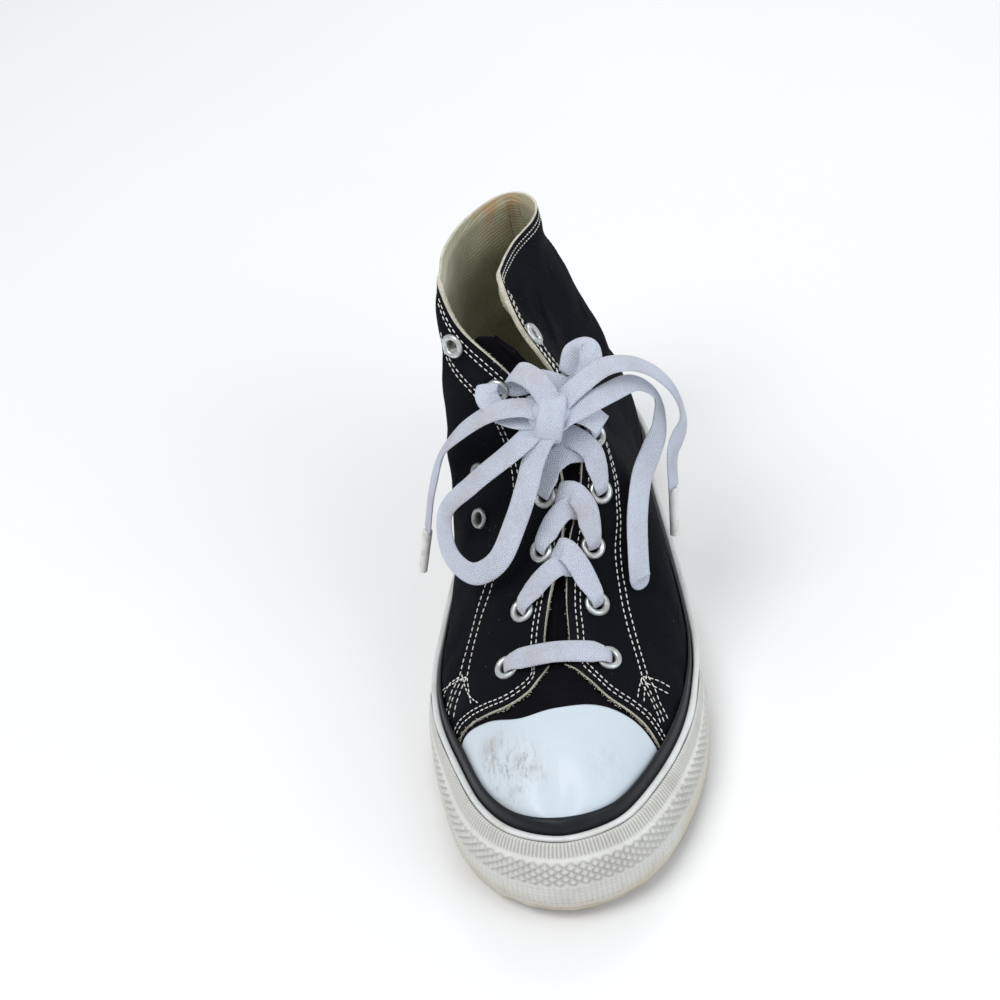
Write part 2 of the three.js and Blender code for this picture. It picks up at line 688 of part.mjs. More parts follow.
// A flat lace: a band along points, whose face looks along a normal at each of them.
const bandSection = [
  [-0.5, 0],
  [-0.42, 0.5],
  [0.42, 0.5],
  [0.5, 0],
  [0.42, -0.5],
  [-0.42, -0.5],
];
function band(points, normals, width = laceWidth, thickness = laceThickness) {
  const n = points.length;
  const rings = points.map((p, i) => {
    const along = points[Math.min(i + 1, n - 1)].clone().sub(points[Math.max(i - 1, 0)]);
    const across = along.clone().cross(normals[i]).normalize();
    const face = across.clone().cross(along).normalize();
    return bandSection.map(([u, v]) =>
      p.clone().addScaledVector(across, u * width).addScaledVector(face, v * thickness),
    );
  });
  const k = bandSection.length;
  const faces = [];
  for (let i = 0; i < n - 1; i += 1) {
    for (let j = 0; j < k; j += 1) {
      const [a, b] = [i * k + j, i * k + ((j + 1) % k)];
      faces.push([a, b, b + k], [a, b + k, a + k]);
    }
  }
  for (let j = 1; j < k - 1; j += 1) {
    const last = (n - 1) * k;
    faces.push([0, j + 1, j], [last, last + j, last + j + 1]);
  }
  return geometryOf(rings.flat(), faces);
}

// A strand's stations on the upper: places, heights above it and shares of closing.
const laceRise = flangeSeat + eyeletCrown + gap + laceThickness / 2;
function strand(stations) {
  const points = stations.map(([w, t, height, closed]) => layerPoint(w, t, height, closed));
  const normals = stations.map(([w, t, , closed]) => lastNormal(w, t, closed));
  return band(points, normals);
}

// The lowest bar goes straight across between the first pair of eyelets.
const across = (inner, w) => (inner ? 2 - w : w);
function bar(row) {
  const side = (inner) => {
    const [w, t] = laceEyelets[row][inner ? 1 : 0];
    return [0, 0.35, 0.7, 1].map((f) => {
      const s = across(inner, lerp(inner ? 2 - w : w, throatEnd - 0.028, f * 0.4));
      return [s, lerp(t, 1, f), laceRise + 0.7 * f, f === 1 ? 1 : 0];
    });
  };
  return strand([...side(false), ...side(true).slice(0, 3).reverse()]);
}
add("lace_bar_1", bar(0), "lace");

// Each higher crossing joins two strands that rise from a pair of eyelets to the throat.
function crossing(row) {
  const [lowShare, highShare] = [laceEyelets[row][0][0], laceEyelets[row + 1][0][0]];
  const half = (inner, reach) => {
    const [w, t] = laceEyelets[row][inner ? 1 : 0];
    const stations = [0, 0.3, 0.6, 0.85, 1].map((f) => {
      const s = lerp(lowShare, highShare, f * reach);
      return [across(inner, s), lerp(t, 1, f), laceRise + 0.5 * f, f === 1 ? 1 : 0];
    });
    const beyond = lerp(lowShare, highShare, reach * 1.12);
    return strand([...stations, [across(!inner, beyond), 0.96, laceRise + 0.5, 0]]);
  };
  return solidOf(half(false, 0.37)).add(solidOf(half(true, 0.27)));
}
for (let row = 1; row < 5; row += 1) {
  add(`lace_cross_${row + 1}`, geometryFrom(crossing(row)), "lace");
}

// The bow: hand-laid routes with the direction that the lace's face looks in.
const routes = {
  tail_inner: [[-7, 15, 128], [-13, 10, 128], [-15, 4, 122], [-11, -1, 118], [-3.4, -4, 116.6]],
  tail_outer: [[18, 20, 130], [23, 18, 131], [24, 11, 127], [21, 5, 122], [17, 3, 119]],
  loop_inner: [
    [-0.4, -9.4, 112.3], [-9, -13, 108], [-24, -11, 95], [-37, -6, 78], [-37, -14, 67],
    [-28, -28, 67], [-18, -32, 75], [-10, -26, 87], [-5, -20, 98], [-1, -15, 105],
  ],
  loop_outer: [
    [17, -6, 116], [27, -1, 120], [37, 10, 116], [44, 16, 105], [44, 13, 93], [40, 7, 86],
    [36, -4, 84], [33, -18, 77], [32, -31, 64],
  ],
  end_outer: [
    [17, 1, 122], [28, 6, 127], [40, 13, 121], [50, 16, 108], [53, 16, 94], [48, 11, 81],
    [47, 7, 69],
  ],
  end_inner: [
    [0, -10, 122], [-12, -9, 120], [-28, 3, 107], [-37, 13, 90], [-43, 13, 74], [-47, 11, 58],
  ],
};
const shaftMiddle = new Vector3(0, 20, 40);
const bowSteps = 2;
function bow(route) {
  const marks = route.map((p) => new Vector3(...p));
  const curve = new THREE.CatmullRomCurve3(marks, false, "centripetal");
  const points = curve.getPoints((route.length - 1) * bowSteps);
  const normals = points.map((p) => p.clone().sub(shaftMiddle).normalize());
  return band(points, normals);
}
Object.entries(routes).forEach(([name, route]) => add(`lace_${name}`, bow(route), "lace"));

// The knot: a rounded lump where the strands meet.
const knotCentre = new Vector3(6.3, -3.8, 115.2);
const knotRadius = 9.4;
const knot = new THREE.SphereGeometry(knotRadius, 12, 8);
knot.scale(1, 0.72, 0.85).translate(knotCentre.x, knotCentre.y, knotCentre.z);
add("lace_knot", knot, "lace");

// An aglet: a short round tip that carries on from a free end.
function aglet(route) {
  const [before, end] = route.slice(-2).map((p) => new Vector3(...p));
  const along = end.clone().sub(before).normalize();
  const tip = new THREE.CylinderGeometry(agletRadius, agletRadius * 0.85, agletLength, 8);
  const turn = new THREE.Quaternion().setFromUnitVectors(new Vector3(0, -1, 0), along);
  const middle = end.clone().addScaledVector(along, agletLength / 2 + gap);
  return tip.applyQuaternion(turn).translate(middle.x, middle.y, middle.z);
}
add("aglet_outer", aglet(routes.end_outer), "tip");
add("aglet_inner", aglet(routes.end_inner), "tip");

// The origin is on the floor under the middle of the shoe without its bow.
const bowNames = [...Object.keys(routes).map((name) => `lace_${name}`), "lace_knot"];
const tipNames = ["aglet_outer", "aglet_inner"];
const standing = new THREE.Box3();
shoe.children
  .filter((mesh) => ![...bowNames, ...tipNames].includes(mesh.name))
  .forEach((mesh) => standing.expandByObject(mesh));
const middle = standing.getCenter(new Vector3());
shoe.children.forEach((mesh) => mesh.position.set(-middle.x, -middle.y, -standing.min.z));

export default shoe;
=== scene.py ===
# %% [markdown]
# # A worn high-top canvas sneaker
# This lesson dresses a fixed frame of plain solids with cloth, rubber, metal and lace. The frame
# holds every place and size, so each piece here is worked out from the same last, which is the
# foot-shaped block that a shoe is built round. Lengths are millimetres until a mesh is made.

import math
import bmesh
import bpy
import numpy as np
from mathutils import Matrix, Vector, kdtree, noise


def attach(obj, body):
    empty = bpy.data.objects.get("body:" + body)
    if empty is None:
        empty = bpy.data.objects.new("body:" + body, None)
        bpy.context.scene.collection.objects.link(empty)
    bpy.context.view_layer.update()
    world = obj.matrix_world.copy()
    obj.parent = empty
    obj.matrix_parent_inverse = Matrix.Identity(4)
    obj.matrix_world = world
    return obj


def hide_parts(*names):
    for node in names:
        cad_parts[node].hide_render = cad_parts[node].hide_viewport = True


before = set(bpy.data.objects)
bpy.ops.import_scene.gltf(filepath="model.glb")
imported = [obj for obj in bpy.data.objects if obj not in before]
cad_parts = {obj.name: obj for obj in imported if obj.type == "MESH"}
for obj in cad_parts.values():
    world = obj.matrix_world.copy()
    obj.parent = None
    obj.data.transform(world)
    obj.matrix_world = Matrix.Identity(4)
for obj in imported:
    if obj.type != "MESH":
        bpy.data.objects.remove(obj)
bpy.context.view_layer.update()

# %% [markdown]
# ## The last
# A shoe's outline is one smooth closed line, and its sides are ribs that rise from that line. A
# row of numbers joined by a soft curve describes both, and the numbers stay easy to read. The
# sizes are the frame's own, so the cloth lies where the solids are.

# %% Sizes of the shoe
sole_length, ball_width, heel_width, collar_height = 273, 102, 73, 151
sole_thickness, foxing_height, toe_spring = 13.4, 25, 5.5
gap, canvas_wall, vamp_wall, vamp_step = 0.3, 2.0, 1.5, 1.4
backstay_rise = 0.7
stripe_wall, stripe_side, stripe_toe, stripe_tuck = 1.0, 3.0, 4.5, 3.0
foxing_wall, foxing_lip, lip_height = 2.6, 0.5, 3.4
bumper_wall = 8.0
tongue_half_width, tongue_slump = 27, 7
lace_width, lace_thickness = 8.5, 1.3
half_heel, half_ball = heel_width / 2, ball_width / 2
frame_shift = np.array([0.3769, 0.0, 0.0])


def lerp(a, b, f):
    return a + (b - a) * f


def soft_step(low, high, value):
    f = np.clip((value - low) / (high - low), 0, 1)
    return f * f * (3 - 2 * f)


def unit(v):
    return v / np.maximum(np.linalg.norm(v, axis=-1, keepdims=True), 1e-9)


# %% A soft curve through rows of numbers
def soft_table(rows, period=0):
    rows = np.array(rows, float)
    if period:
        before, after = rows[-1:].copy(), rows[:2].copy()
        before[:, 0] -= period
        after[:, 0] += period
    else:
        before, after = rows[:1], rows[-1:]
    padded = np.concatenate([before, rows, after])
    places, values = padded[:, 0], padded[:, 1:]
    run = (places[2:] - places[:-2])[:, None]
    slopes = (values[2:] - values[:-2]) / np.where(run == 0, 1, run)
    last = len(rows) - (1 if period else 2)

    def read(place):
        p = np.asarray(place, float)
        if period:
            p = p - np.floor((p - rows[0, 0]) / period) * period
        i = np.clip(np.searchsorted(rows[:, 0], p, side="right") - 1, 0, last)
        a, b = values[i + 1], values[i + 2]
        h = (places[i + 2] - places[i + 1])[..., None]
        f = np.clip((p - places[i + 1])[..., None] / h, 0, 1)
        f2, f3 = f * f, f * f * f
        start, end = slopes[i], slopes[np.minimum(i + 1, len(slopes) - 1)]
        return (
            (2 * f3 - 3 * f2 + 1) * a + (f3 - 2 * f2 + f) * h * start
            + (3 * f2 - 2 * f3) * b + (f3 - f2) * h * end
        )

    return read


# %% A smooth line through marks
def through_marks(marks, share, closed=False):
    marks = np.array(marks, float)
    n = len(marks)
    p = (n if closed else n - 1) * np.asarray(share, float)
    i = np.floor(p).astype(int)
    if not closed:
        i = np.minimum(i, n - 2)
    f = (p - i)[..., None]
    if closed:
        p0, p1, p2, p3 = (marks[(i + k) % n] for k in (-1, 0, 1, 2))
    else:
        longer = np.concatenate([
            [2 * marks[0] - marks[1]], marks, [2 * marks[-1] - marks[-2]],
        ])
        p0, p1, p2, p3 = (longer[i + k] for k in (0, 1, 2, 3))
    d0, d1, d2 = (
        np.maximum(np.linalg.norm(b - a, axis=-1, keepdims=True) ** 0.5, 1e-4)
        for a, b in ((p0, p1), (p1, p2), (p2, p3))
    )
    t1 = ((p1 - p0) / d0 - (p2 - p0) / (d0 + d1) + (p2 - p1) / d1) * d1
    t2 = ((p2 - p1) / d1 - (p3 - p1) / (d1 + d2) + (p3 - p2) / d2) * d1
    return (
        p1 + t1 * f + (-3 * p1 + 3 * p2 - 2 * t1 - t2) * f**2
        + (2 * p1 - 2 * p2 + t1 + t2) * f**3
    )


# %% The outline of the sole
outline_rows = [
    [0.035, 0.5 * half_heel, 0.82 * half_heel],
    [0.12, 0.84 * half_heel, 1.08 * half_heel],
    [0.24, 0.9 * half_heel, 1.11 * half_heel],
    [0.4, 0.83 * half_ball, 0.89 * half_ball],
    [0.55, 0.95 * half_ball, 0.97 * half_ball],
    [0.68, 1.02 * half_ball, 1.0 * half_ball],
    [0.8, 0.93 * half_ball, 0.92 * half_ball],
    [0.9, 0.77 * half_ball, 0.71 * half_ball],
    [0.97, 0.47 * half_ball, 0.42 * half_ball],
]
outline_marks = (
    [[0.16 * half_heel, sole_length / 2, 0]]
    + [[outer, sole_length * (0.5 - share), 0] for share, _, outer in outline_rows]
    + [[-0.04 * half_ball, -sole_length / 2, 0]]
    + [[-inner, sole_length * (0.5 - share), 0] for share, inner, _ in outline_rows[::-1]]
)
outline_steps = 480
outline_points = through_marks(outline_marks, np.arange(outline_steps + 1) / outline_steps, True)
outline_run = np.concatenate([
    [0], np.cumsum(np.linalg.norm(np.diff(outline_points, axis=0), axis=1)),
])
toe_run = outline_run[outline_steps // 2]
print("outline", round(outline_run[-1], 1), "mm round,", round(toe_run, 1), "to the toe")


# %% Places round the ring: 0 at the heel, 1 at the toe, 2 at the heel again
def outline_at(w):
    turn = np.mod(w, 2)
    run = np.where(turn <= 1, turn * toe_run, toe_run + (turn - 1) * (outline_run[-1] - toe_run))
    step = np.interp(run, outline_run, np.arange(outline_steps + 1))
    return through_marks(outline_marks, np.clip(step / outline_steps, 0, 1 - 1e-9), True)


def outline_normal(w):
    w = np.asarray(w, float)
    along = outline_at(w + 0.004) - outline_at(w - 0.004)
    return unit(np.stack([-along[..., 1], along[..., 0], 0 * along[..., 0]], -1))


def length_share(y):
    return 0.5 - y / sole_length


def spring_at(y):
    return toe_spring * np.clip((length_share(y) - 0.72) / 0.28, 0, 1) ** 2


foxing_rows = soft_table([
    [0, 1.04], [0.15, 1.0], [0.4, 0.93], [0.6, 0.9], [0.78, 0.98], [0.9, 1.1], [1, 1.22],
])


def foxing_top(y):
    return foxing_height * foxing_rows(length_share(y))[..., 0] + spring_at(y)


def sole_top(y):
    return sole_thickness + spring_at(y)


foxing_offset = gap + stripe_wall + gap
side_inset = foxing_offset + foxing_wall


def inset_at(y):
    thick = bumper_wall * lerp(0.25, 1, soft_step(0.63, 0.9, length_share(y)))
    return side_inset + soft_step(0.57, 0.69, length_share(y)) * (gap + thick)


def feather_at(w):
    p = outline_at(w)
    return p - outline_normal(w) * inset_at(p[..., 1])[..., None]


# %% The ribs of the last
heel_rib = [0, -0.08, -0.08, 0.055, 0.895, 0.033, 0.2, 0, 0, -0.02, 0.23]
side_ribs = [
    [0.05, 0.04, -0.2, 0.068, 0.9, 0.03, 0.22, 0.08, 0.02, -0.02, 0.23],
    [0.11, 0.12, -0.36, 0.105, 0.905, 0.02, 0.25, 0.06, 0.05, -0.02, 0.24],
    [0.18, 0.095, -0.5, 0.17, 0.925, 0.014, 0.26, 0.05, 0.08, -0.01, 0.26],
    [0.25, -0.04, -0.58, 0.25, 0.955, 0.01, 0.25, 0.05, 0.08, 0, 0.26],
    [0.32, -0.11, -0.58, 0.325, 0.982, 0.01, 0.24, 0.11, 0.09, 0.01, 0.23],
    [0.37, -0.12, -0.57, 0.378, 1.0, 0.012, 0.23, 0.18, 0.12, 0.01, 0.19],
    [0.42, -0.02, -0.45, 0.415, 0.915, 0.013, 0.22, 0.27, 0.18, 0.015, 0.13],
    [0.47, 0.18, -0.13, 0.45, 0.805, 0.012, 0.19, 0.28, 0.24, 0.02, 0.1],
    [0.52, 0.31, 0.075, 0.492, 0.697, 0.012, 0.165, 0.28, 0.28, 0.018, 0.085],
    [0.57, 0.28, 0.145, 0.542, 0.592, 0.01, 0.14, 0.29, 0.3, 0.012, 0.075],
    [0.62, 0.155, 0.09, 0.597, 0.497, 0.008, 0.12, 0.33, 0.33, 0.008, 0.06],
    [0.67, 0.1, -0.03, 0.655, 0.417, 0.006, 0.105, 0.36, 0.36, 0.004, 0.045],
    [0.71, 0.09, -0.09, 0.707, 0.36, 0.005, 0.09, 0.4, 0.4, 0.002, 0.025],
    [0.745, 0.03, -0.05, 0.742, 0.34, 0.005, 0.08, 0.42, 0.42, 0.004, 0.008],
    [0.79, -0.01, -0.01, 0.78, 0.333, 0.005, 0.078, 0.42, 0.42, 0.01, 0.003],
    [0.85, -0.02, -0.02, 0.82, 0.325, 0.005, 0.075, 0.35, 0.35, 0.035, 0.008],
    [0.92, -0.03, -0.03, 0.865, 0.303, 0.005, 0.07, 0.2, 0.2, 0.058, 0.024],
]
tip_rib = [1, -0.04, -0.04, 0.905, 0.262, 0.005, 0.06, 0, 0, 0.055, 0.033]


def outer_rib(r):
    return [r[0], r[1], *r[3:7], r[7], r[9], r[10]]


def inner_rib(r):
    return [2 - r[0], r[2], *r[3:7], -r[8], r[9], r[10]]


rib_at = soft_table(
    [outer_rib(r) for r in [heel_rib, *side_ribs, tip_rib]]
    + [inner_rib(r) for r in side_ribs[::-1]],
    2,
)
middle_rows = [[r[0], (r[1] + r[2]) / 2] for r in [heel_rib, *side_ribs, tip_rib]]
middle_x = soft_table(middle_rows + [[2 - middle_rows[-2][0], middle_rows[-2][1]]])


# %% A point of the last: w round the ring, t up the rib, closed = 1 over the toe
def last_point(w, t, closed=0.0):
    w, t, closed = np.broadcast_arrays(np.asarray(w, float), t, closed)
    x, y, z, b, h, o, f, d = np.moveaxis(rib_at(w), -1, 0)
    foot = feather_at(w)
    foot[..., 2] = foxing_top(foot[..., 1]) - stripe_tuck
    turn = np.mod(w, 2)
    side = np.where(turn <= 1, turn, 2 - turn)
    x = lerp(x, middle_x(side)[..., 0], closed)
    top = np.stack([x * half_ball, sole_length * (0.5 - y), z * collar_height], -1)
    low = foot + outline_normal(w) * (b * collar_height)[..., None]
    low[..., 2] += h * collar_height
    high = top + np.stack([o * half_ball, -f * collar_height, -d * collar_height], -1)
    k = np.clip(t, 0, 1)[..., None]
    m = 1 - k
    point = m**3 * foot + 3 * m * m * k * low + 3 * m * k * k * high + k**3 * top
    drop = sole_top(foot[..., 1]) + gap
    point[..., 2] = np.where(t < 0, lerp(foot[..., 2], drop, np.clip(-t, 0, 1)), point[..., 2])
    return point


def last_normal(w, t, closed=0.0):
    w, t = np.broadcast_arrays(np.asarray(w, float), np.asarray(t, float))
    low = np.clip(t - 0.01, 0, 0.98)
    along = last_point(w + 0.003, t, closed) - last_point(w - 0.003, t, closed)
    rise = last_point(w, low + 0.02, closed) - last_point(w, low, closed)
    doubled = np.linalg.norm(along, axis=-1, keepdims=True) < 0.05
    along = np.where(doubled, [-1.0, 0, 0], along)
    return np.where((t <= 0)[..., None], outline_normal(w), unit(np.cross(rise, along)))


def layer(w, t, offset, closed=0.0):
    offset = np.asarray(offset, float)[..., None]
    return last_point(w, t, closed) + last_normal(w, t, closed) * offset


def share_below_top(w, distance, from_foot=False):
    w = np.atleast_1d(np.asarray(w, float))
    t = np.linspace(0, 1, 241) if from_foot else np.linspace(1, 0, 241)
    points = last_point(w[:, None], t[None, :])
    run = np.cumsum(np.linalg.norm(np.diff(points, axis=1), axis=2), axis=1)
    run = np.concatenate([np.zeros((len(w), 1)), run], axis=1)
    distance = np.broadcast_to(distance, w.shape)
    return np.array([np.interp(d, r, t) for d, r in zip(distance, run)])


# %% [markdown]
# ## Edges of the panels
# The canvas is cut in two quarters, one a side, joined at the heel by a backstay. Their front
# edges swing from the throat to the corners of the toe cap. These lines come before any cloth,
# because the stitching, the eyelets and the laces are all measured from them.

# %% Front edges of the quarters and back edge of the toe cap
throat_end, corner_share, cap_top = 0.735, 0.37, 0.82
quarter_edge = soft_table([
    [-1, 0.777, 0.732], [0, 0.778, 0.732], [0.24, 0.779, 0.733], [0.4, 0.778, 0.744],
    [0.54, 0.78, 0.758], [0.7, 0.777, 0.774], [0.84, 0.757, 0.77], [0.93, 0.742, 0.75],
    [1, throat_end, throat_end],
])
cap_edge = soft_table([
    [-1, 0.785, 0.742], [0, 0.785, 0.74], [0.26, 0.785, 0.741], [0.5, 0.786, 0.765],
    [0.76, 0.797, 0.808], [1, cap_top, cap_top],
])
vamp_back = soft_table([
    [-1, 0.73, 0.69], [0.3, 0.735, 0.695], [0.7, 0.73, 0.72], [1, 0.723, 0.723],
])


# %% Places of the eyelets
def edge_share_at(distance):
    s = np.linspace(throat_end, corner_share, 401)
    run = np.cumsum(np.linalg.norm(np.diff(last_point(s, 1.0), axis=0), axis=1))
    return np.interp(distance, np.concatenate([[0], run]), s)


first_eyelet, eyelet_pitch = 5.5, 21
eyelet_margins = soft_table([[0, 14.5], [1, 11.5], [2, 9], [3, 8.5], [6, 8]])
eyelet_places = []
for row in range(7):
    share = float(edge_share_at(first_eyelet + row * eyelet_pitch))
    margin = float(eyelet_margins(row)[0])
    for w in (share, 2 - share):
        eyelet_places.append((w, float(share_below_top(w, margin)[0])))
vent_places = [(2 - 0.482, 0.6), (2 - 0.512, 0.52)]
eyelet_spots = last_point(*np.array(eyelet_places + vent_places).T)
print("eyelets at", eyelet_spots.round(0).tolist()[:4], "...")

# %% [markdown]
# ## Making a sheet
# Every cloth and rubber panel is a flat grid whose corners are moved onto the last. The grid
# comes from Blender's own operator, and a function says where each corner goes. The run of each
# row and column is kept as a UV map in millimetres, so a weave follows the cloth.


# %% A grid moved onto the last
def make_sheet(name, columns, rows, place, inside=None, closed=False, holes=None, grime=None):
    u, v = np.meshgrid(np.linspace(0, 1, columns + 1), np.linspace(0, 1, rows + 1))
    points = place(u, v)
    across = np.linalg.norm(np.diff(points, axis=1), axis=2).mean(0)
    up = np.linalg.norm(np.diff(points, axis=0), axis=2)
    run = np.broadcast_to(np.concatenate([[0], np.cumsum(across)]), u.shape)
    rise = np.concatenate([np.zeros((1, columns + 1)), np.cumsum(up, axis=0)])
    bm = bmesh.new()
    bmesh.ops.create_grid(bm, x_segments=columns, y_segments=rows, size=0.5)
    uv_map = bm.loops.layers.uv.new("cloth")
    grime_map = bm.verts.layers.float.new("grime")
    soiled = np.zeros(u.shape) if grime is None else grime(u, v)
    metres = (points + frame_shift) * 0.001
    spots = {}
    for vert in bm.verts:
        c = round((vert.co.x + 0.5) * columns)
        r = round((vert.co.y + 0.5) * rows)
        spots[vert] = (r, c)
    for face in bm.faces:
        for loop in face.loops:
            r, c = spots[loop.vert]
            loop[uv_map].uv = (run[r, c], rise[r, c])
    for vert, (r, c) in spots.items():
        vert.co = metres[r, c]
        vert[grime_map] = soiled[r, c]
    if holes is not None:
        tree, reach = holes
        gone = [f for f in bm.faces if tree.find(f.calc_center_median())[2] < reach]
        bmesh.ops.delete(bm, geom=gone, context="FACES")
    bmesh.ops.remove_doubles(bm, verts=bm.verts, dist=2e-6)
    if closed:
        open_edges = [e for e in bm.edges if e.is_boundary]
        bmesh.ops.holes_fill(bm, edges=open_edges, sides=0)
        bmesh.ops.recalc_face_normals(bm, faces=bm.faces)
    elif inside is not None:
        bm.normal_update()
        middle = Vector(np.array(inside) * 0.001)
        facing = sum(f.normal.dot(f.calc_center_median() - middle) for f in bm.faces)
        if facing < 0:
            bmesh.ops.reverse_faces(bm, faces=bm.faces)
    return finish_mesh(name, bm)


def finish_mesh(name, bm):
    mesh = bpy.data.meshes.new(name)
    for face in bm.faces:
        face.smooth = True
    bm.to_mesh(mesh)
    bm.free()
    made = bpy.data.objects.new(name, mesh)
    bpy.context.scene.collection.objects.link(made)
    print(name, len(mesh.polygons), "faces")
    return made


# %% A wall from a sheet
def thicken(piece, wall, inner=0, rim=0):
    step = piece.modifiers.new("wall", "SOLIDIFY")
    step.thickness = wall * 0.001
    step.offset = -1
    step.material_offset = inner
    step.material_offset_rim = rim
    return piece


def dress(piece, slot, finishes, *nodes):
    for finish in finishes:
        piece.data.materials.append(finish)
    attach(piece, "root")
    if nodes:
        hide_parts(*nodes)
    return piece


# %% [markdown]
# ## Finishes
# Each finish is built from a few nodes: a base colour, slow stains, a fine weave or grain, and a
# bump. The weave reads the UV map in millimetres and the stains read Object coordinates, so
# neither slides when the view changes.


# %% Helpers for nodes
class Finish:
    def __init__(self, name, roughness, metallic=0.0, sheen=0.0, coat=0.0):
        self.material = bpy.data.materials.new(name)
        self.material.use_nodes = True
        self.tree = self.material.node_tree
        self.shader = self.tree.nodes["Principled BSDF"]
        self.shader.inputs["Roughness"].default_value = roughness
        self.shader.inputs["Metallic"].default_value = metallic
        self.shader.inputs["Sheen Weight"].default_value = sheen
        self.shader.inputs["Coat Weight"].default_value = coat
        self.place = self.node("TexCoord").outputs["Object"]
        self.cloth = self.node("UVMap", uv_map="cloth").outputs["UV"]

    def node(self, kind, inputs=None, **settings):
        made = self.tree.nodes.new("ShaderNode" + kind)
        for key, value in settings.items():
            setattr(made, key, value)
        for key, value in (inputs or {}).items():
            if isinstance(value, bpy.types.NodeSocket):
                self.tree.links.new(value, made.inputs[key])
            else:
                made.inputs[key].default_value = value
        return made

    def sum(self, operation, a, b=0.0, limit=False):
        made = self.node("Math", {0: a, 1: b}, operation=operation, use_clamp=limit)
        return made.outputs[0]

    def noise(self, scale, detail=3.0, rough=0.55, at=None):
        inputs = {"Vector": at or self.place, "Scale": scale, "Detail": detail}
        return self.node("TexNoise", {**inputs, "Roughness": rough}).outputs["Fac"]

    def between(self, value, low, high, start=0.0, end=1.0):
        inputs = {"Value": value, "From Min": low, "From Max": high}
        inputs.update({"To Min": start, "To Max": end})
        return self.node("MapRange", inputs, interpolation_type="SMOOTHSTEP").outputs["Result"]

    def mix(self, share, a, b):
        sides = [(*c, 1) if isinstance(c, tuple) else c for c in (a, b)]
        inputs = {0: share, 6: sides[0], 7: sides[1]}
        return self.node("Mix", inputs, data_type="RGBA").outputs[2]

    def bands(self, scale, way, at=None, bend=0.0):
        inputs = {"Vector": at or self.cloth, "Scale": scale, "Distortion": bend}
        made = self.node("TexWave", inputs, wave_type="BANDS", bands_direction=way)
        return made.outputs["Fac"]

    def near(self, spot, reach, flat=(1, 1, 1)):
        centre = self.node("VectorMath", {0: self.place, 1: tuple(s * 0.001 for s in spot)},
                           operation="SUBTRACT").outputs[0]
        scaled = self.node("VectorMath", {0: centre, 1: flat}, operation="MULTIPLY").outputs[0]
        far = self.node("VectorMath", {0: scaled}, operation="LENGTH").outputs["Value"]
        return self.between(far, reach * 0.001, 0.0)

    def height(self):
        return self.node("SeparateXYZ", {"Vector": self.place}).outputs["Z"]

    def grime(self):
        return self.node("Attribute", attribute_name="grime").outputs["Fac"]

    def bump(self, height, depth, strength=1.0):
        made = self.node("Bump", {"Height": height, "Distance": depth, "Strength": strength})
        self.tree.links.new(made.outputs[0], self.shader.inputs["Normal"])
        return made

    def color(self, socket):
        self.tree.links.new(socket, self.shader.inputs["Base Color"])

    def rough(self, socket):
        self.tree.links.new(socket, self.shader.inputs["Roughness"])


def per_mm(pitch):
    return 2 * math.pi / 20 / pitch


# %% Black canvas
def black_canvas(name, dye, dust):
    f = Finish(name, 0.95)
    f.shader.inputs["Specular IOR Level"].default_value = 0.06
    warp = f.bands(per_mm(0.85), "X", bend=0.4)
    weft = f.bands(per_mm(0.85), "Y", bend=0.4)
    weave = f.sum("MULTIPLY", warp, weft)
    fade = f.between(f.noise(28, 4), 0.48, 0.8)
    lint = f.between(f.noise(900, 2, 0.4), 0.72, 0.8)
    worn = f.mix(f.sum("MULTIPLY", fade, 0.55), dye, dust)
    thread = f.mix(f.sum("MULTIPLY", weave, 0.45), worn, dust)
    f.color(f.mix(f.sum("MULTIPLY", lint, 0.35), thread, (0.2, 0.2, 0.2)))
    f.bump(f.sum("ADD", weave, f.noise(700, 2)), 0.00018, 0.8)
    return f.material


canvas_black = black_canvas("canvas black", (0.0045, 0.005, 0.007), (0.016, 0.017, 0.022))
canvas_deep = black_canvas("canvas of the tongue", (0.004, 0.004, 0.006), (0.012, 0.012, 0.015))


# %% Cream lining with sweat stains and painted shade low inside the shoe
def cream_lining():
    f = Finish("lining cream", 0.95, sheen=0.1)
    warp = f.bands(per_mm(1.35), "X", bend=0.3)
    weft = f.bands(per_mm(1.5), "Y", bend=0.3)
    weave = f.sum("MULTIPLY", warp, weft)
    cloth = f.mix(f.between(f.noise(22, 4), 0.35, 0.7), (0.56, 0.57, 0.4), (0.7, 0.69, 0.53))
    woven = f.mix(f.between(weave, 0.05, 0.55), f.mix(0.38, cloth, (0.26, 0.26, 0.17)), cloth)
    rust = f.sum("MULTIPLY", f.near((-4, 118, 134), 42, (1, 1, 1.7)), f.between(f.noise(75, 5), 0.4, 0.66))
    stained = f.mix(f.sum("MULTIPLY", rust, 0.75), woven, (0.56, 0.3, 0.13))
    # Painted shade: the lining darkens towards the bottom of the shoe, where shade falls inside it.
    painted_depth_shade = f.between(f.height(), 0.105, 0.03)
    f.color(f.mix(f.sum("MULTIPLY", painted_depth_shade, 0.45), stained, (0.3, 0.28, 0.17)))
    f.bump(weave, 0.0003, 0.9)
    return f.material


lining_cream = cream_lining()


# %% Raw cream edge of the cloth
def raw_edge():
    f = Finish("raw cream edge", 0.95, sheen=0.2)
    fray = f.noise(1500, 3, 0.6)
    aged = f.mix(f.between(f.noise(120, 4), 0.3, 0.75), (0.66, 0.63, 0.52), (0.4, 0.37, 0.28))
    f.color(f.mix(f.between(fray, 0.5, 0.75), aged, (0.8, 0.78, 0.68)))
    f.bump(fray, 0.0004, 1.0)
    return f.material


edge_cream = raw_edge()


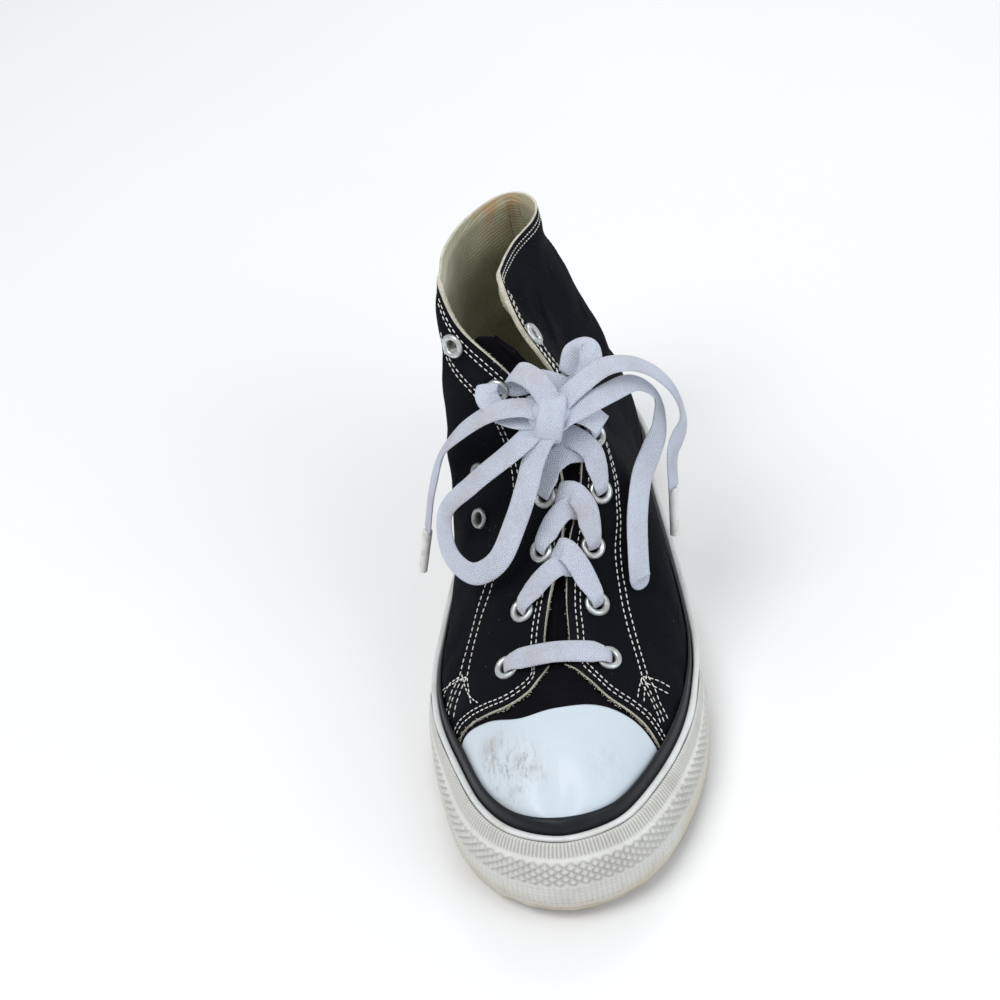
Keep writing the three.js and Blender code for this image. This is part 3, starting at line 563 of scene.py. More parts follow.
# %% White rubber of the foxing and the bumper
def white_rubber(name, clean, soil, low_soil):
    f = Finish(name, 0.6)
    f.shader.inputs["Specular IOR Level"].default_value = 0.35
    patches = f.between(f.noise(38, 6, 0.6), 0.42, 0.72)
    streaks = f.between(f.noise(240, 4, 0.65), 0.5, 0.75)
    base = f.mix(f.sum("MULTIPLY", patches, 0.6), clean, soil)
    pores = f.mix(f.sum("MULTIPLY", streaks, 0.3), base, (0.42, 0.4, 0.36))
    hollow = f.mix(f.sum("MULTIPLY", f.grime(), 0.75, True), pores, (0.3, 0.29, 0.27))
    foot = f.sum("MULTIPLY", f.between(f.height(), 0.016, 0.002), f.between(f.noise(60, 4), 0.25, 0.6))
    f.color(f.mix(f.sum("MULTIPLY", foot, 0.7), hollow, low_soil))
    f.rough(f.between(patches, 0, 1, 0.48, 0.75))
    f.bump(f.noise(1300, 3), 0.0001, 0.5)
    return f.material


rubber_white = white_rubber("rubber white", (0.72, 0.74, 0.73), (0.56, 0.55, 0.5), (0.5, 0.42, 0.26))
rubber_toe = white_rubber("rubber of the toe", (0.68, 0.68, 0.65), (0.52, 0.5, 0.44), (0.52, 0.43, 0.26))
rubber_sole = white_rubber("rubber sole", (0.6, 0.56, 0.46), (0.42, 0.38, 0.3), (0.36, 0.3, 0.2))


# %% Toe cap, satin and scuffed
def cap_white():
    f = Finish("toe cap white", 0.46, coat=0.04)
    f.shader.inputs["Specular IOR Level"].default_value = 0.4
    tint = f.mix(f.between(f.noise(30, 3), 0.35, 0.7), (0.61, 0.68, 0.735), (0.57, 0.65, 0.72))
    stretched = f.node("Mapping", {"Vector": f.place, "Scale": (1.0, 0.22, 0.6)}).outputs[0]
    scratch = f.between(f.noise(800, 5, 0.75, stretched), 0.5, 0.64)
    smear = f.between(f.noise(110, 5, 0.65), 0.42, 0.68)
    scuff = f.near((-17, -103, 45), 17, (1, 1, 0.7))
    second = f.near((-26, -92, 42), 12)
    third = f.near((15, -104, 44), 13)
    marked = f.sum("ADD", f.sum("ADD", scuff, second, True), f.sum("MULTIPLY", third, 0.35), True)
    grey = f.mix(f.sum("MULTIPLY", f.sum("MULTIPLY", marked, smear), 0.85), tint, (0.42, 0.41, 0.39))
    f.color(f.mix(f.sum("MULTIPLY", f.sum("MULTIPLY", marked, scratch), 0.6), grey, (0.2, 0.21, 0.22)))
    f.rough(f.between(f.sum("MULTIPLY", marked, smear), 0, 1, 0.42, 0.75))
    f.bump(f.sum("MULTIPLY", marked, scratch), 0.00015, 0.6)
    return f.material


cap_finish = cap_white()


# %% Black rubber stripe
def black_rubber():
    f = Finish("rubber black", 0.5)
    f.shader.inputs["Specular IOR Level"].default_value = 0.25
    worn = f.between(f.noise(130, 5), 0.5, 0.8)
    f.color(f.mix(f.sum("MULTIPLY", worn, 0.5), (0.007, 0.009, 0.012), (0.026, 0.03, 0.034)))
    f.rough(f.between(worn, 0, 1, 0.42, 0.65))
    f.bump(f.noise(900, 3), 0.00008, 0.5)
    return f.material


stripe_black = black_rubber()


# %% Flat lace: a braid of small slanted stitches
def lace_cloth(name, clean, soil):
    f = Finish(name, 0.9, sheen=0.25)
    turned = f.node("Mapping", {"Vector": f.cloth, "Rotation": (0, 0, 0.9)}).outputs[0]
    other = f.node("Mapping", {"Vector": f.cloth, "Rotation": (0, 0, -0.9)}).outputs[0]
    braid = f.sum("MULTIPLY", f.bands(per_mm(0.8), "X", turned, 1.4), f.bands(per_mm(0.8), "X", other, 1.4))
    soiled = f.between(f.noise(65, 5, 0.6), 0.42, 0.72)
    # The bluish tint of the clean colour, and of the greys in the braid's hollows and specks, is painted
    # bluish sky light and shade. The lace itself is white, and its soil, braid and specks are its own.
    cloth = f.mix(f.sum("MULTIPLY", soiled, 0.65), clean, soil)
    specks = f.between(f.noise(1500, 3, 0.7), 0.56, 0.68)
    woven = f.mix(f.between(braid, 0.0, 0.5), f.mix(0.45, cloth, (0.3, 0.33, 0.44)), cloth)
    f.color(f.mix(f.sum("MULTIPLY", specks, 0.4), woven, (0.4, 0.41, 0.47)))
    f.bump(f.sum("ADD", braid, f.noise(1100, 3, 0.7)), 0.0004, 1.0)
    return f.material


# The clean colour is white with a painted bluish tint of sky light.
lace_white = lace_cloth("lace white", (0.76, 0.82, 0.94), (0.62, 0.58, 0.6))


# %% Eyelet metal, thread, patch and tips
def dull_metal():
    f = Finish("eyelet metal", 0.42, metallic=0.85)
    worn = f.between(f.noise(300, 4), 0.35, 0.7)
    f.color(f.mix(worn, (0.62, 0.66, 0.66), (0.42, 0.42, 0.4)))
    f.rough(f.between(worn, 0, 1, 0.32, 0.6))
    return f.material


def thread_cream():
    f = Finish("thread cream", 0.85, sheen=0.2)
    f.color(f.mix(f.between(f.noise(90, 3), 0.35, 0.7), (0.86, 0.86, 0.82), (0.7, 0.69, 0.62)))
    f.bump(f.noise(2500, 2), 0.0001, 0.8)
    return f.material


def patch_white():
    f = Finish("patch rubber", 0.55)
    aged = f.between(f.noise(120, 5), 0.4, 0.7)
    plain = f.mix(aged, (0.62, 0.66, 0.64), (0.5, 0.5, 0.44))
    f.color(f.mix(f.sum("MULTIPLY", f.grime(), 0.7), plain, (0.28, 0.27, 0.24)))
    f.bump(f.noise(1100, 3), 0.0001, 0.6)
    return f.material


def tip_plastic():
    f = Finish("lace tip", 0.35, coat=0.2)
    f.color(f.mix(f.between(f.noise(200, 3), 0.4, 0.7), (0.74, 0.74, 0.72), (0.55, 0.53, 0.5)))
    f.bump(f.noise(900, 2), 0.00008, 0.5)
    return f.material


metal_dull, cream_thread = dull_metal(), thread_cream()
patch_finish, tip_finish = patch_white(), tip_plastic()


# %% [markdown]
# ## Rows of stitching
# A sewn row is a line drawn on the last a few millimetres in from an edge. The lines are needed
# before the cloth, because the canvas sinks a little under each one.


# %% Lines beside the edges
def beside_top(shares, margin):
    w = np.asarray(shares, float)
    return w, share_below_top(w, margin)


def beside_front(side, margin, low=0.03, high=0.97, count=60):
    t = np.linspace(high, low, count)
    s = quarter_edge(t)[..., side]
    run = np.linalg.norm(last_point(s + 0.004, t) - last_point(s - 0.004, t), axis=-1) / 0.008
    s = s - margin / run
    return (s if side == 0 else 2 - s), t


def side_line(side, marks, count=60):
    marks = np.array([[s, t, 0] for s, t in marks])
    line = through_marks(marks, np.linspace(0, 1, count))
    return (line[:, 0] if side == 0 else 2 - line[:, 0]), line[:, 1]


def joined(*lines):
    return np.concatenate([a[0] for a in lines]), np.concatenate([a[1] for a in lines])


sewn_rows = []
for side in (0, 1):
    for margin in (3.0, 5.0):
        facing = np.linspace(corner_share + 0.006, throat_end - 0.03, 90)
        upper_run = beside_top(facing if side == 0 else 2 - facing, margin)
        front_run = beside_front(side, margin, high=0.9)
        sewn_rows.append(joined(upper_run, front_run))
for margin in (2.6, 4.6):
    collar = np.linspace(-corner_share + 0.004, corner_share - 0.004, 160)
    sewn_rows.append(beside_top(collar, margin))
for spot in (-0.0175, -0.0135, 0.0135, 0.0175):
    sewn_rows.append((np.full(60, spot), np.linspace(0.02, 0.985, 60)))

# %% The eyestay's outer rows and the fan at each corner of the cap
outer_stay = [
    (0.385, 0.84), (0.42, 0.822), (0.46, 0.803), (0.5, 0.784), (0.54, 0.765), (0.575, 0.745),
    (0.6, 0.73), (0.617, 0.705), (0.645, 0.665), (0.681, 0.6), (0.716, 0.53),
]
outer_second = [
    (0.385, 0.822), (0.42, 0.803), (0.46, 0.784), (0.5, 0.764), (0.54, 0.744), (0.575, 0.722),
    (0.598, 0.7), (0.613, 0.675), (0.64, 0.63), (0.675, 0.56), (0.709, 0.49),
]
inner_stay = [
    (0.385, 0.83), (0.42, 0.805), (0.46, 0.79), (0.5, 0.76), (0.542, 0.695), (0.566, 0.585),
    (0.597, 0.485), (0.634, 0.425), (0.665, 0.34),
]
inner_second = [
    (0.385, 0.85), (0.42, 0.825), (0.46, 0.81), (0.5, 0.785), (0.545, 0.73), (0.572, 0.635),
    (0.609, 0.535), (0.645, 0.48), (0.679, 0.415),
]
outer_fans = [
    [(0.716, 0.53), (0.731, 0.53), (0.752, 0.52)], [(0.709, 0.5), (0.729, 0.49), (0.751, 0.47)],
    [(0.716, 0.53), (0.704, 0.4), (0.696, 0.28)], [(0.721, 0.5), (0.714, 0.39), (0.706, 0.285)],
    [(0.709, 0.49), (0.726, 0.36), (0.739, 0.225)], [(0.716, 0.53), (0.733, 0.4), (0.749, 0.25)],
    [(0.722, 0.54), (0.74, 0.41), (0.756, 0.28)],
]
inner_fans = [
    [(0.679, 0.415), (0.7, 0.43), (0.72, 0.435)], [(0.665, 0.36), (0.697, 0.41), (0.729, 0.495)],
    [(0.679, 0.415), (0.657, 0.24), (0.636, 0.1)], [(0.665, 0.34), (0.652, 0.21), (0.646, 0.08)],
    [(0.665, 0.34), (0.672, 0.18), (0.676, 0.04)], [(0.679, 0.415), (0.69, 0.3), (0.702, 0.2)],
    [(0.672, 0.38), (0.682, 0.22), (0.69, 0.08)],
]
rows_by_side = ((0, outer_stay, outer_second, outer_fans), (1, inner_stay, inner_second, inner_fans))
for side, first, second, fans in rows_by_side:
    sewn_rows += [side_line(side, first, 120), side_line(side, second, 120)]
    sewn_rows += [side_line(side, fan, 30) for fan in fans]
print("sewn rows:", len(sewn_rows))


# %% Even places along a row
def even_places(w, t, pitch, lift):
    points = layer(w, t, np.full(np.shape(w), lift))
    run = np.concatenate([[0], np.cumsum(np.linalg.norm(np.diff(points, axis=0), axis=1))])
    count = max(2, int(run[-1] / pitch))
    at = (np.arange(count) + 0.5) * run[-1] / count
    return np.interp(at, run, w), np.interp(at, run, t), at[1] - at[0]


row_points = []
for w, t in sewn_rows:
    dense_w, dense_t, _ = even_places(w, t, 1.0, 0)
    row_points.append(last_point(dense_w, dense_t))
row_points = np.concatenate(row_points)
row_tree = kdtree.KDTree(len(row_points))
for i, p in enumerate(row_points):
    row_tree.insert(p, i)
row_tree.balance()

# %% [markdown]
# ## Creases and relief of the canvas
# Worn canvas isn't smooth: it folds where the foot bends, buckles at the ankle and puckers
# beside each seam. Each main crease is placed as a line on the last with a depth and a
# width, where a positive depth is a trough and a negative one a ridge.

# %% The creases: side, start, end, depth, width
creases = [
    (0, (0.375, 0.93), (0.27, 0.7), 4.4, 9.0), (0, (0.36, 0.84), (0.25, 0.6), -1.6, 7.0),
    (0, (0.3, 0.62), (0.14, 0.55), 2.0, 6.0), (0, (0.27, 0.5), (0.12, 0.42), 1.6, 5.0),
    (0, (0.44, 0.6), (0.33, 0.4), 1.6, 6.0), (0, (0.5, 0.52), (0.4, 0.3), 1.1, 5.0),
    (0, (0.62, 0.62), (0.58, 0.2), 1.1, 5.0), (0, (0.69, 0.5), (0.64, 0.12), 1.3, 4.5),
    (0, (0.66, 0.34), (0.7, 0.08), -0.7, 4.0), (0, (0.74, 0.42), (0.7, 0.1), 0.8, 3.5),
    (0, (0.2, 0.86), (0.06, 0.8), 1.4, 8.0), (0, (0.17, 0.34), (0.04, 0.3), 1.2, 5.0),
    (1, (0.4, 0.78), (0.3, 0.6), 2.2, 8.0), (1, (0.33, 0.56), (0.2, 0.5), 2.0, 6.0),
    (1, (0.3, 0.42), (0.15, 0.38), 1.6, 5.0), (1, (0.46, 0.5), (0.38, 0.28), 1.4, 6.0),
    (1, (0.56, 0.5), (0.53, 0.16), 1.1, 5.0), (1, (0.62, 0.4), (0.6, 0.1), 1.2, 4.5),
    (1, (0.66, 0.24), (0.66, 0.06), 0.7, 3.5), (1, (0.16, 0.84), (0.05, 0.76), 1.2, 8.0),
    (0, (0.02, 0.6), (0.1, 0.66), 1.2, 6.0), (1, (0.02, 0.48), (0.12, 0.5), 1.2, 6.0),
]
crease_lines = []
for side, start, end, depth, width in creases:
    f = np.linspace(0, 1, 13)
    s = lerp(start[0], end[0], f)
    bow = 0.02 * np.sin(f * math.pi)
    line = last_point(s if side == 0 else 2 - s, lerp(start[1], end[1], f) + bow)
    crease_lines.append((line, np.sin(f * math.pi) ** 0.6 * depth, width))


def crease_depth(points):
    total = np.zeros(points.shape[:-1])
    for line, depths, width in crease_lines:
        gaps = np.linalg.norm(points[..., None, :] - line, axis=-1)
        nearest = gaps.argmin(-1)
        near = np.take_along_axis(gaps, nearest[..., None], -1)[..., 0]
        total += depths[nearest] * np.exp(-((near / width) ** 2))
    return total


def rumple(points, scale, depth):
    flat = points.reshape(-1, 3) / scale
    bumps = np.array([noise.noise(Vector(p)) for p in flat])
    return bumps.reshape(points.shape[:-1]) * depth


def seam_dip(points, depth=0.3, width=1.1):
    flat = points.reshape(-1, 3)
    far = np.array([row_tree.find(p)[2] for p in flat])
    return (depth * np.exp(-((far / width) ** 2))).reshape(points.shape[:-1])


def canvas_relief(w, t):
    points = last_point(w, t)
    turn = np.mod(w + 1, 2) - 1
    stay = backstay_rise * (1 - soft_step(0.0285, 0.0305, np.abs(turn))) * (1 - soft_step(0.9, 0.985, t))
    loose = soft_step(0, 0.18, t)
    flats = np.min(np.linalg.norm(points[..., None, :] - eyelet_spots, axis=-1), axis=-1)
    kept = soft_step(4.5, 11, flats) * loose * (1 - 0.75 * soft_step(0.9, 1.0, t))
    soft = rumple(points, 26, 1.5) + rumple(points, 9, 0.35)
    return stay + kept * (soft - crease_depth(points)) - seam_dip(points)


# %% [markdown]
# ## The canvas quarters
# One sheet runs from the inner front edge round the heel to the outer front edge. It is given a
# wall of 2 mm, whose inner face is the cream lining and whose rim is the raw cut edge. The grid
# is about 1.5 mm fine, so creases and eyelet holes can be shaped in it directly.

# %% Quarters
front_bend, front_reach = 0.6, 0.77


def quarter_place(u, v):
    q = lerp(-front_reach, front_reach, u)
    t = np.where(v < 0.04, lerp(-0.6, 0, v / 0.04), (v - 0.04) / 0.96)
    edges = quarter_edge(t)
    edge = np.where(q > 0, edges[..., 0], edges[..., 1])
    f = np.clip((np.abs(q) - front_bend) / (front_reach - front_bend), 0, 1)
    s = np.where(np.abs(q) > front_bend, lerp(front_bend, edge, f), np.abs(q))
    w = np.where(q > 0, s, -s)
    return layer(w, t, canvas_relief(w, t))


hole_tree = kdtree.KDTree(len(eyelet_spots))
for i, p in enumerate(eyelet_spots):
    hole_tree.insert((p + frame_shift) * 0.001, i)
hole_tree.balance()
def rim_share(u, v):
    collar = 1 - soft_step(corner_share - 0.03, corner_share, np.abs(lerp(-front_reach, front_reach, u)))
    front = soft_step(0.985, 1.0, np.abs(2 * u - 1)) * 0.9
    return np.maximum(soft_step(0.965, 0.99, v) * collar, front)


quarters = make_sheet(
    "canvas_quarters", 310, 84, quarter_place, inside=(0, 30, 50), holes=(hole_tree, 0.0031),
    grime=rim_share,
)
thin = quarters.vertex_groups.new(name="wall thickness")
for i, mark in enumerate(quarters.data.attributes["grime"].data):
    thin.add([i], 1 - 0.5 * mark.value, "REPLACE")
thicken(quarters, canvas_wall, inner=1, rim=2)
quarters.modifiers["wall"].vertex_group = "wall thickness"
dress(quarters, "black_canvas", [canvas_black, lining_cream, edge_cream], "upper")

# %% [markdown]
# ## Over the toe
# The vamp and the toe cap are domes: their columns run from a back edge to the toe's tip, and
# each row rises on the outer side, crosses the ridge and falls on the inner side. The tip closes
# on itself, so its doubled corners are merged.


# %% A dome over the toe
def dome_place(back, front, relief):
    def place(u, v):
        t = 1 - np.abs(2 * v - 1)
        t = np.where(t < 0.05, lerp(-0.6, 0, t / 0.05), (t - 0.05) / 0.95)
        outer, inner = (
            lerp(back(t)[..., k], front(t)[..., k], u) for k in (0, 1)
        )
        on_outer = layer(outer, t, relief(u, t, 0), 1.0)
        on_inner = layer(2 - inner, t, relief(u, t, 1), 1.0)
        side = (v > 0.5)[..., None]
        ridge = (np.abs(v - 0.5) < 1e-6)[..., None]
        return np.where(ridge, (on_outer + on_inner) / 2, np.where(side, on_inner, on_outer))
    return place


toe_tip = soft_table([[-1, 1, 1], [1, 1, 1]])
past_cap_edge = soft_table([
    [-1, 0.82, 0.79], [0, 0.82, 0.79], [0.5, 0.82, 0.8], [0.76, 0.83, 0.84], [1, 0.85, 0.85],
])


def vamp_relief(u, t, side):
    wrinkle = 0.25 * np.sin(u * 34 + 3 * np.sin(t * 5)) * np.sin(np.pi * np.clip(u, 0, 1))
    return -vamp_step + wrinkle * soft_step(0.3, 0.7, t)


def cap_relief(u, t, side):
    edge = np.exp(-((u * 95 / 1.1) ** 2))
    dents = 0.3 * np.sin(u * 7 + t * 6) * soft_step(0.05, 0.3, u) * soft_step(0.25, 0.5, t)
    return -0.75 * edge + dents * (1 - soft_step(0.8, 1, t)) * (1 - soft_step(0.8, 1, u))


vamp_place = dome_place(vamp_back, past_cap_edge, vamp_relief)
vamp = make_sheet("canvas_vamp", 40, 120, vamp_place, inside=(0, -90, 20))
thicken(vamp, vamp_wall, inner=1, rim=1)
dress(vamp, "black_canvas", [canvas_deep, lining_cream], "upper")

cap = make_sheet("toe_cap_shell", 90, 150, dome_place(cap_edge, toe_tip, cap_relief), inside=(0, -100, 20))
thicken(cap, 1.0)
dress(cap, "cap_rubber", [cap_finish], "toe_cap")

# %% [markdown]
# ## Rubber round the shoe
# The stripe and the foxing are bands laid round the upper. Each is a grid bent into a ring, with
# its profile as the rows. The foxing's profile goes right round its section, so it closes.


# %% Black stripe
def stripe_place(u, v):
    w = 2 * u
    s = np.abs(np.mod(w + 1, 2) - 1)
    wide = stripe_tuck + lerp(stripe_side, stripe_toe, soft_step(0.55, 0.75, s))
    stay = backstay_rise * (1 - soft_step(0.0285, 0.031, s))
    t = share_below_top(w[0], wide[0], from_foot=True)
    t = t[None, :] * v
    cleared = 0.6 * soft_step(0.58, 0.66, s) * (0.4 + 0.6 * v)
    rounded = 0.55 * soft_step(0.86, 1.0, v)
    return layer(w, t, stay + gap + stripe_wall + cleared - rounded)


stripe = make_sheet("rubber_stripe", 420, 9, stripe_place, inside=(0, 0, 25))
thicken(stripe, 0.8)
dress(stripe, "black_rubber", [stripe_black], "toe_stripe")


# %% Foxing band with its lip and a fine dark line
def band_point(w, out, z_at):
    p = feather_at(w) + outline_normal(w) * np.asarray(out)[..., None]
    p[..., 2] = z_at(p[..., 1])
    return p


def sole_edge_top(y):
    return 3.0 + spring_at(y)


def foxing_bottom(y):
    return sole_edge_top(y) + gap


flat_side = side_inset - foxing_lip
foxing_profile = [
    (foxing_offset, 0, 0), (flat_side - 0.5, 0, 0), (flat_side, 0.5, 0), (flat_side, 6, 0),
    (flat_side, -lip_height - 0.7, 1), (flat_side + 0.1, -lip_height - 0.3, 1),
    (side_inset + 0.05, -lip_height, 1), (side_inset + 0.12, -2.6, 1), (side_inset + 0.12, -2.15, 1),
    (side_inset - 0.1, -2.0, 1), (side_inset - 0.1, -1.7, 1), (side_inset + 0.08, -1.55, 1),
    (side_inset + 0.05, -0.6, 1), (side_inset - 0.25, -0.12, 1), (side_inset - 0.8, 0, 1),
    (foxing_offset + 0.9, 0, 1), (foxing_offset + 0.5, -0.2, 1), (foxing_offset, -lip_height, 1),
    (foxing_offset, 0, 0),
]
profile_rows = len(foxing_profile) - 1


def foxing_place(u, v):
    w = 2 * u
    s = np.abs(np.mod(w + 1, 2) - 1)
    stay = backstay_rise * (1 - soft_step(0.0285, 0.031, s))
    points = np.zeros(u.shape + (3,))
    for r, (out, rise, from_top) in enumerate(foxing_profile):
        base = foxing_top if from_top else foxing_bottom
        inner = out < foxing_offset + 1
        reach = out + (stay[r] if inner else 0 * stay[r])
        points[r] = band_point(w[r], reach, lambda y: base(y) + rise)
    worn = rumple(points, 14, 0.25)
    outwards = outline_normal(w)
    return points + outwards * (worn * (v > 0.12) * (v < 0.7))[..., None]


def foxing_grime(u, v):
    r = np.rint(v * profile_rows).astype(int)
    return np.isin(r, (9, 10)).astype(float) * 1.2 + np.isin(r, (4, 5)) * 0.6


foxing = make_sheet("rubber_foxing", 420, profile_rows, foxing_place, closed=True, grime=foxing_grime)
dress(foxing, "white_rubber", [rubber_white], "foxing")

# %% [markdown]
# ## The toe bumper
# The bumper carries three bands: fine ribs under the lip, rows of raised diamonds, and a fine
# knurl at the foot. The grid is fine enough round the toe for each rib, and the hollows are
# marked with an attribute so that dirt gathers in them.

# %% Bumper
bumper_start, bumper_rows, bumper_columns = 0.618, 56, 1300
bumper_top_drop = 1.5
bumper_marks = np.array([
    [0, 0.94], [0.2, 1], [0.4, 0.95], [0.72, 0.82], [0.78, 0.74], [0.81, 0.54], [1, 0.2],
])


def bumper_pattern(run, rise, high):
    ribs = 0.5 + 0.5 * np.cos(2 * math.pi * run / 1.2)
    across, up = run / 3.4, (rise - 0.4) * high / 3.0
    a, b = np.abs(np.mod(across + up, 1) - 0.5), np.abs(np.mod(across - up, 1) - 0.5)
    diamonds = 1 - 2 * np.maximum(a, b)
    c, d = run / 1.5, rise * high / 1.5
    knurl = np.maximum(0, np.sin(math.pi * (c + d)) * np.sin(math.pi * (c - d)))
    ribbed = soft_step(0.815, 0.83, rise)
    faceted = soft_step(0.385, 0.405, rise) * (1 - soft_step(0.775, 0.79, rise))
    knurled = soft_step(0.02, 0.04, rise) * (1 - soft_step(0.37, 0.385, rise))
    height = 0.6 * ribbed * (ribs - 1) + 1.5 * faceted * (diamonds - 0.5) + 0.3 * knurled * knurl
    hollow = ribbed * (1 - ribs) + faceted * (1 - diamonds) * 0.75 + knurled * (0.4 - knurl)
    return height, np.clip(hollow, 0, 1)


def bumper_parts(u, v):
    w = lerp(bumper_start, 2 - bumper_start, u)
    foot = feather_at(w)
    low, high = foxing_bottom(foot[..., 1]), foxing_top(foot[..., 1]) - bumper_top_drop
    rise = np.clip(v * 1.06, 0, 1)
    run = np.interp(np.mod(w, 2), np.arange(outline_steps + 1) / outline_steps * 2, outline_run)
    ends = soft_step(0, 0.012, np.minimum(u, 1 - u))
    height, hollow = bumper_pattern(run, rise, high - low)
    inner = side_inset + gap
    out = np.interp(rise, bumper_marks[:, 0], bumper_marks[:, 1])
    reach = lerp(inner, inset_at(foot[..., 1]), out * (0.35 + 0.65 * ends))
    shut = soft_step(0.95, 1.0, v)
    reach = lerp(reach + height * ends * soft_step(0.7, 0.78, length_share(foot[..., 1])) , inner, shut)
    return w, reach, rise, low, high, hollow * ends


def bumper_place(u, v):
    w, reach, rise, _, _, _ = bumper_parts(u, v)
    return band_point(w, reach, lambda y: lerp(foxing_bottom(y), foxing_top(y) - bumper_top_drop, rise))


def bumper_grime(u, v):
    _, _, rise, _, _, hollow = bumper_parts(u, v)
    return hollow * 0.75 + 0.2 * (rise < 0.1)


bumper = make_sheet(
    "rubber_bumper", bumper_columns, bumper_rows, bumper_place, inside=(0, -60, 15),
    grime=bumper_grime,
)
dress(bumper, "white_rubber", [rubber_toe], "toe_bumper")

# %% The outsole keeps its CAD shape and gets a finish
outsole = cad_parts["outsole"]
outsole.data.materials.clear()
outsole.data.materials.append(rubber_sole)

# %% [markdown]
# ## Tongue and insole
# The tongue is a strip of double canvas under both facings, slumped at its top. The insole is a
# thin cloth-covered board on the sole. Both are grids with a wall, as the quarters are.

# %% Tongue
tongue_top, tongue_foot, tongue_depth = 0.43, 0.752, vamp_step + vamp_wall + gap + 0.2


def tongue_place(u, v):
    s = lerp(tongue_top, tongue_foot, v)
    side = np.abs(2 * u - 1)
    across = 1 - side
    w = np.where(u > 0.5, 2 - s, s)
    wide = tongue_half_width * lerp(1, 0.62, v)
    low = share_below_top(w.ravel(), wide.ravel()).reshape(w.shape)
    t = lerp(low, 1, across)
    sag = tongue_slump * soft_step(0.45, 0, v) * (0.3 + 0.7 * across)
    waves = 0.5 * np.sin(v * 19 + 2 * across) * (1 - v)
    points = layer(w, t, -tongue_depth - sag + waves, soft_step(0.62, 0.72, s))
    other = layer(2 - w, t, -tongue_depth - sag + waves, soft_step(0.62, 0.72, s))
    join = soft_step(0.8, 1.0, across)[..., None] * 0.5
    return points * (1 - join) + other * join


tongue = make_sheet("canvas_tongue", 96, 90, tongue_place, inside=(0, 0, 20))
thicken(tongue, 1.8)
dress(tongue, "black_canvas", [canvas_deep], "tongue")


# %% Insole
def insole_place(u, v):
    s = lerp(0.004, 0.996, v)
    inset = vamp_step + vamp_wall + 2 * gap
    sides = [band_point(w, 0 * w - inset, lambda y: 0 * y) for w in (s, 2 - s)]
    p = sides[0] * (1 - u[..., None]) + sides[1] * u[..., None]
    cupped = 0.5 * np.abs(2 * u - 1) ** 4
    p[..., 2] = sole_top(p[..., 1]) + gap + 2.4 + cupped
    return p


insole = make_sheet("lining_insole", 30, 110, insole_place, inside=(0, 0, -400))
thicken(insole, 2.4)
dress(insole, "lining_cloth", [lining_cream], "insole")

# %% [markdown]
# ## The ankle patch
# A round rubber disc is glued to the inner side of the ankle. It is bare here, with a raised rim
# and a hollow beside it. A polar grid follows the cloth, so the disc lies on the ankle's curve.

# %% Patch
patch_place, patch_drop, patch_radius = 2 - 0.27, 27, 18
patch_t = float(share_below_top(patch_place, patch_drop)[0])


def patch_point(u, v):
    centre = last_point(patch_place, patch_t)
    normal = last_normal(patch_place, patch_t)
    per_w = (last_point(patch_place + 0.01, patch_t) - centre) / 0.01
    per_t = (last_point(patch_place, patch_t + 0.01) - centre) / 0.01
    across = unit(np.cross(normal, [0, 0, 1]))
    rise = -np.cross(across, normal)
    a, b, c, d = per_w @ across, per_t @ across, per_w @ rise, per_t @ rise
    r = patch_radius * np.minimum(v * 1.04, 1)
    x, y = r * np.cos(2 * math.pi * u), r * np.sin(2 * math.pi * u)
    scale = a * d - b * c
    w, t = patch_place + (x * d - b * y) / scale, patch_t + (a * y - c * x) / scale
    rim = 0.5 * soft_step(15.2, 15.6, r) * (1 - soft_step(17.2, 18, r))
    down = 1.2 * soft_step(0.96, 1.0, v)
    return layer(w, t, 1.25 + rim - down + kept_relief(w, t))


def kept_relief(w, t):
    points = last_point(w, t)
    return rumple(points, 26, 1.5) - crease_depth(points)


def patch_grime(u, v):
    return np.exp(-(((v * patch_radius * 1.04 - 14.7) / 0.5) ** 2)) + (v > 0.95) * 0.4


patch = make_sheet("patch_disc", 96, 30, patch_point, inside=(0, 60, 100), grime=patch_grime)
dress(patch, "patch_rubber", [patch_finish], "ankle_patch")

# %% [markdown]
# ## Eyelets
# An eyelet is a short tube of thin metal rolled out into a ring on the outside. A profile is
# spun round an axis with Blender's spin operator, and each copy is turned to stand on the cloth.


# %% Spun rings
def add_ring(bm, spot, normal, flange):
    hole, barrel = 2.3, 2.8
    middle = (flange + hole) / 2
    profile = [
        (hole, -2.6), (hole, 0.5), (hole + 0.15, 1.05), (middle - 0.4, 1.5), (middle + 0.5, 1.5),
        (flange - 0.3, 1.05), (flange, 0.55), (flange - 0.2, 0.3), (barrel, 0.3), (barrel, -2.6),
        (hole, -2.6),
    ]
    turn = Vector((0, 0, 1)).rotation_difference(Vector(normal)).to_matrix().to_4x4()
    stand = Matrix.Translation(Vector((spot + frame_shift) * 0.001)) @ turn
    verts = [bm.verts.new((r * 0.001, 0, h * 0.001)) for r, h in profile]
    edges = [bm.edges.new(pair) for pair in zip(verts, verts[1:])]
    bmesh.ops.spin(
        bm, geom=verts + edges, cent=(0, 0, 0), axis=(0, 0, 1), angle=2 * math.pi,
        steps=26, use_merge=True, use_duplicate=False,
    )
    return stand


def make_eyelets():
    whole = bmesh.new()
    normals = last_normal(*np.array(eyelet_places + vent_places).T)
    for i, (spot, normal) in enumerate(zip(eyelet_spots, normals)):
        bm = bmesh.new()
        stand = add_ring(bm, spot, normal, 4.7 if i < 14 else 4.0)
        bmesh.ops.remove_doubles(bm, verts=bm.verts, dist=1e-6)
        bmesh.ops.recalc_face_normals(bm, faces=bm.faces)
        bmesh.ops.transform(bm, matrix=stand, verts=bm.verts)
        part = bpy.data.meshes.new("ring")
        bm.to_mesh(part)
        bm.free()
        whole.from_mesh(part)
        bpy.data.meshes.remove(part)
    return finish_mesh("metal_eyelets", whole)


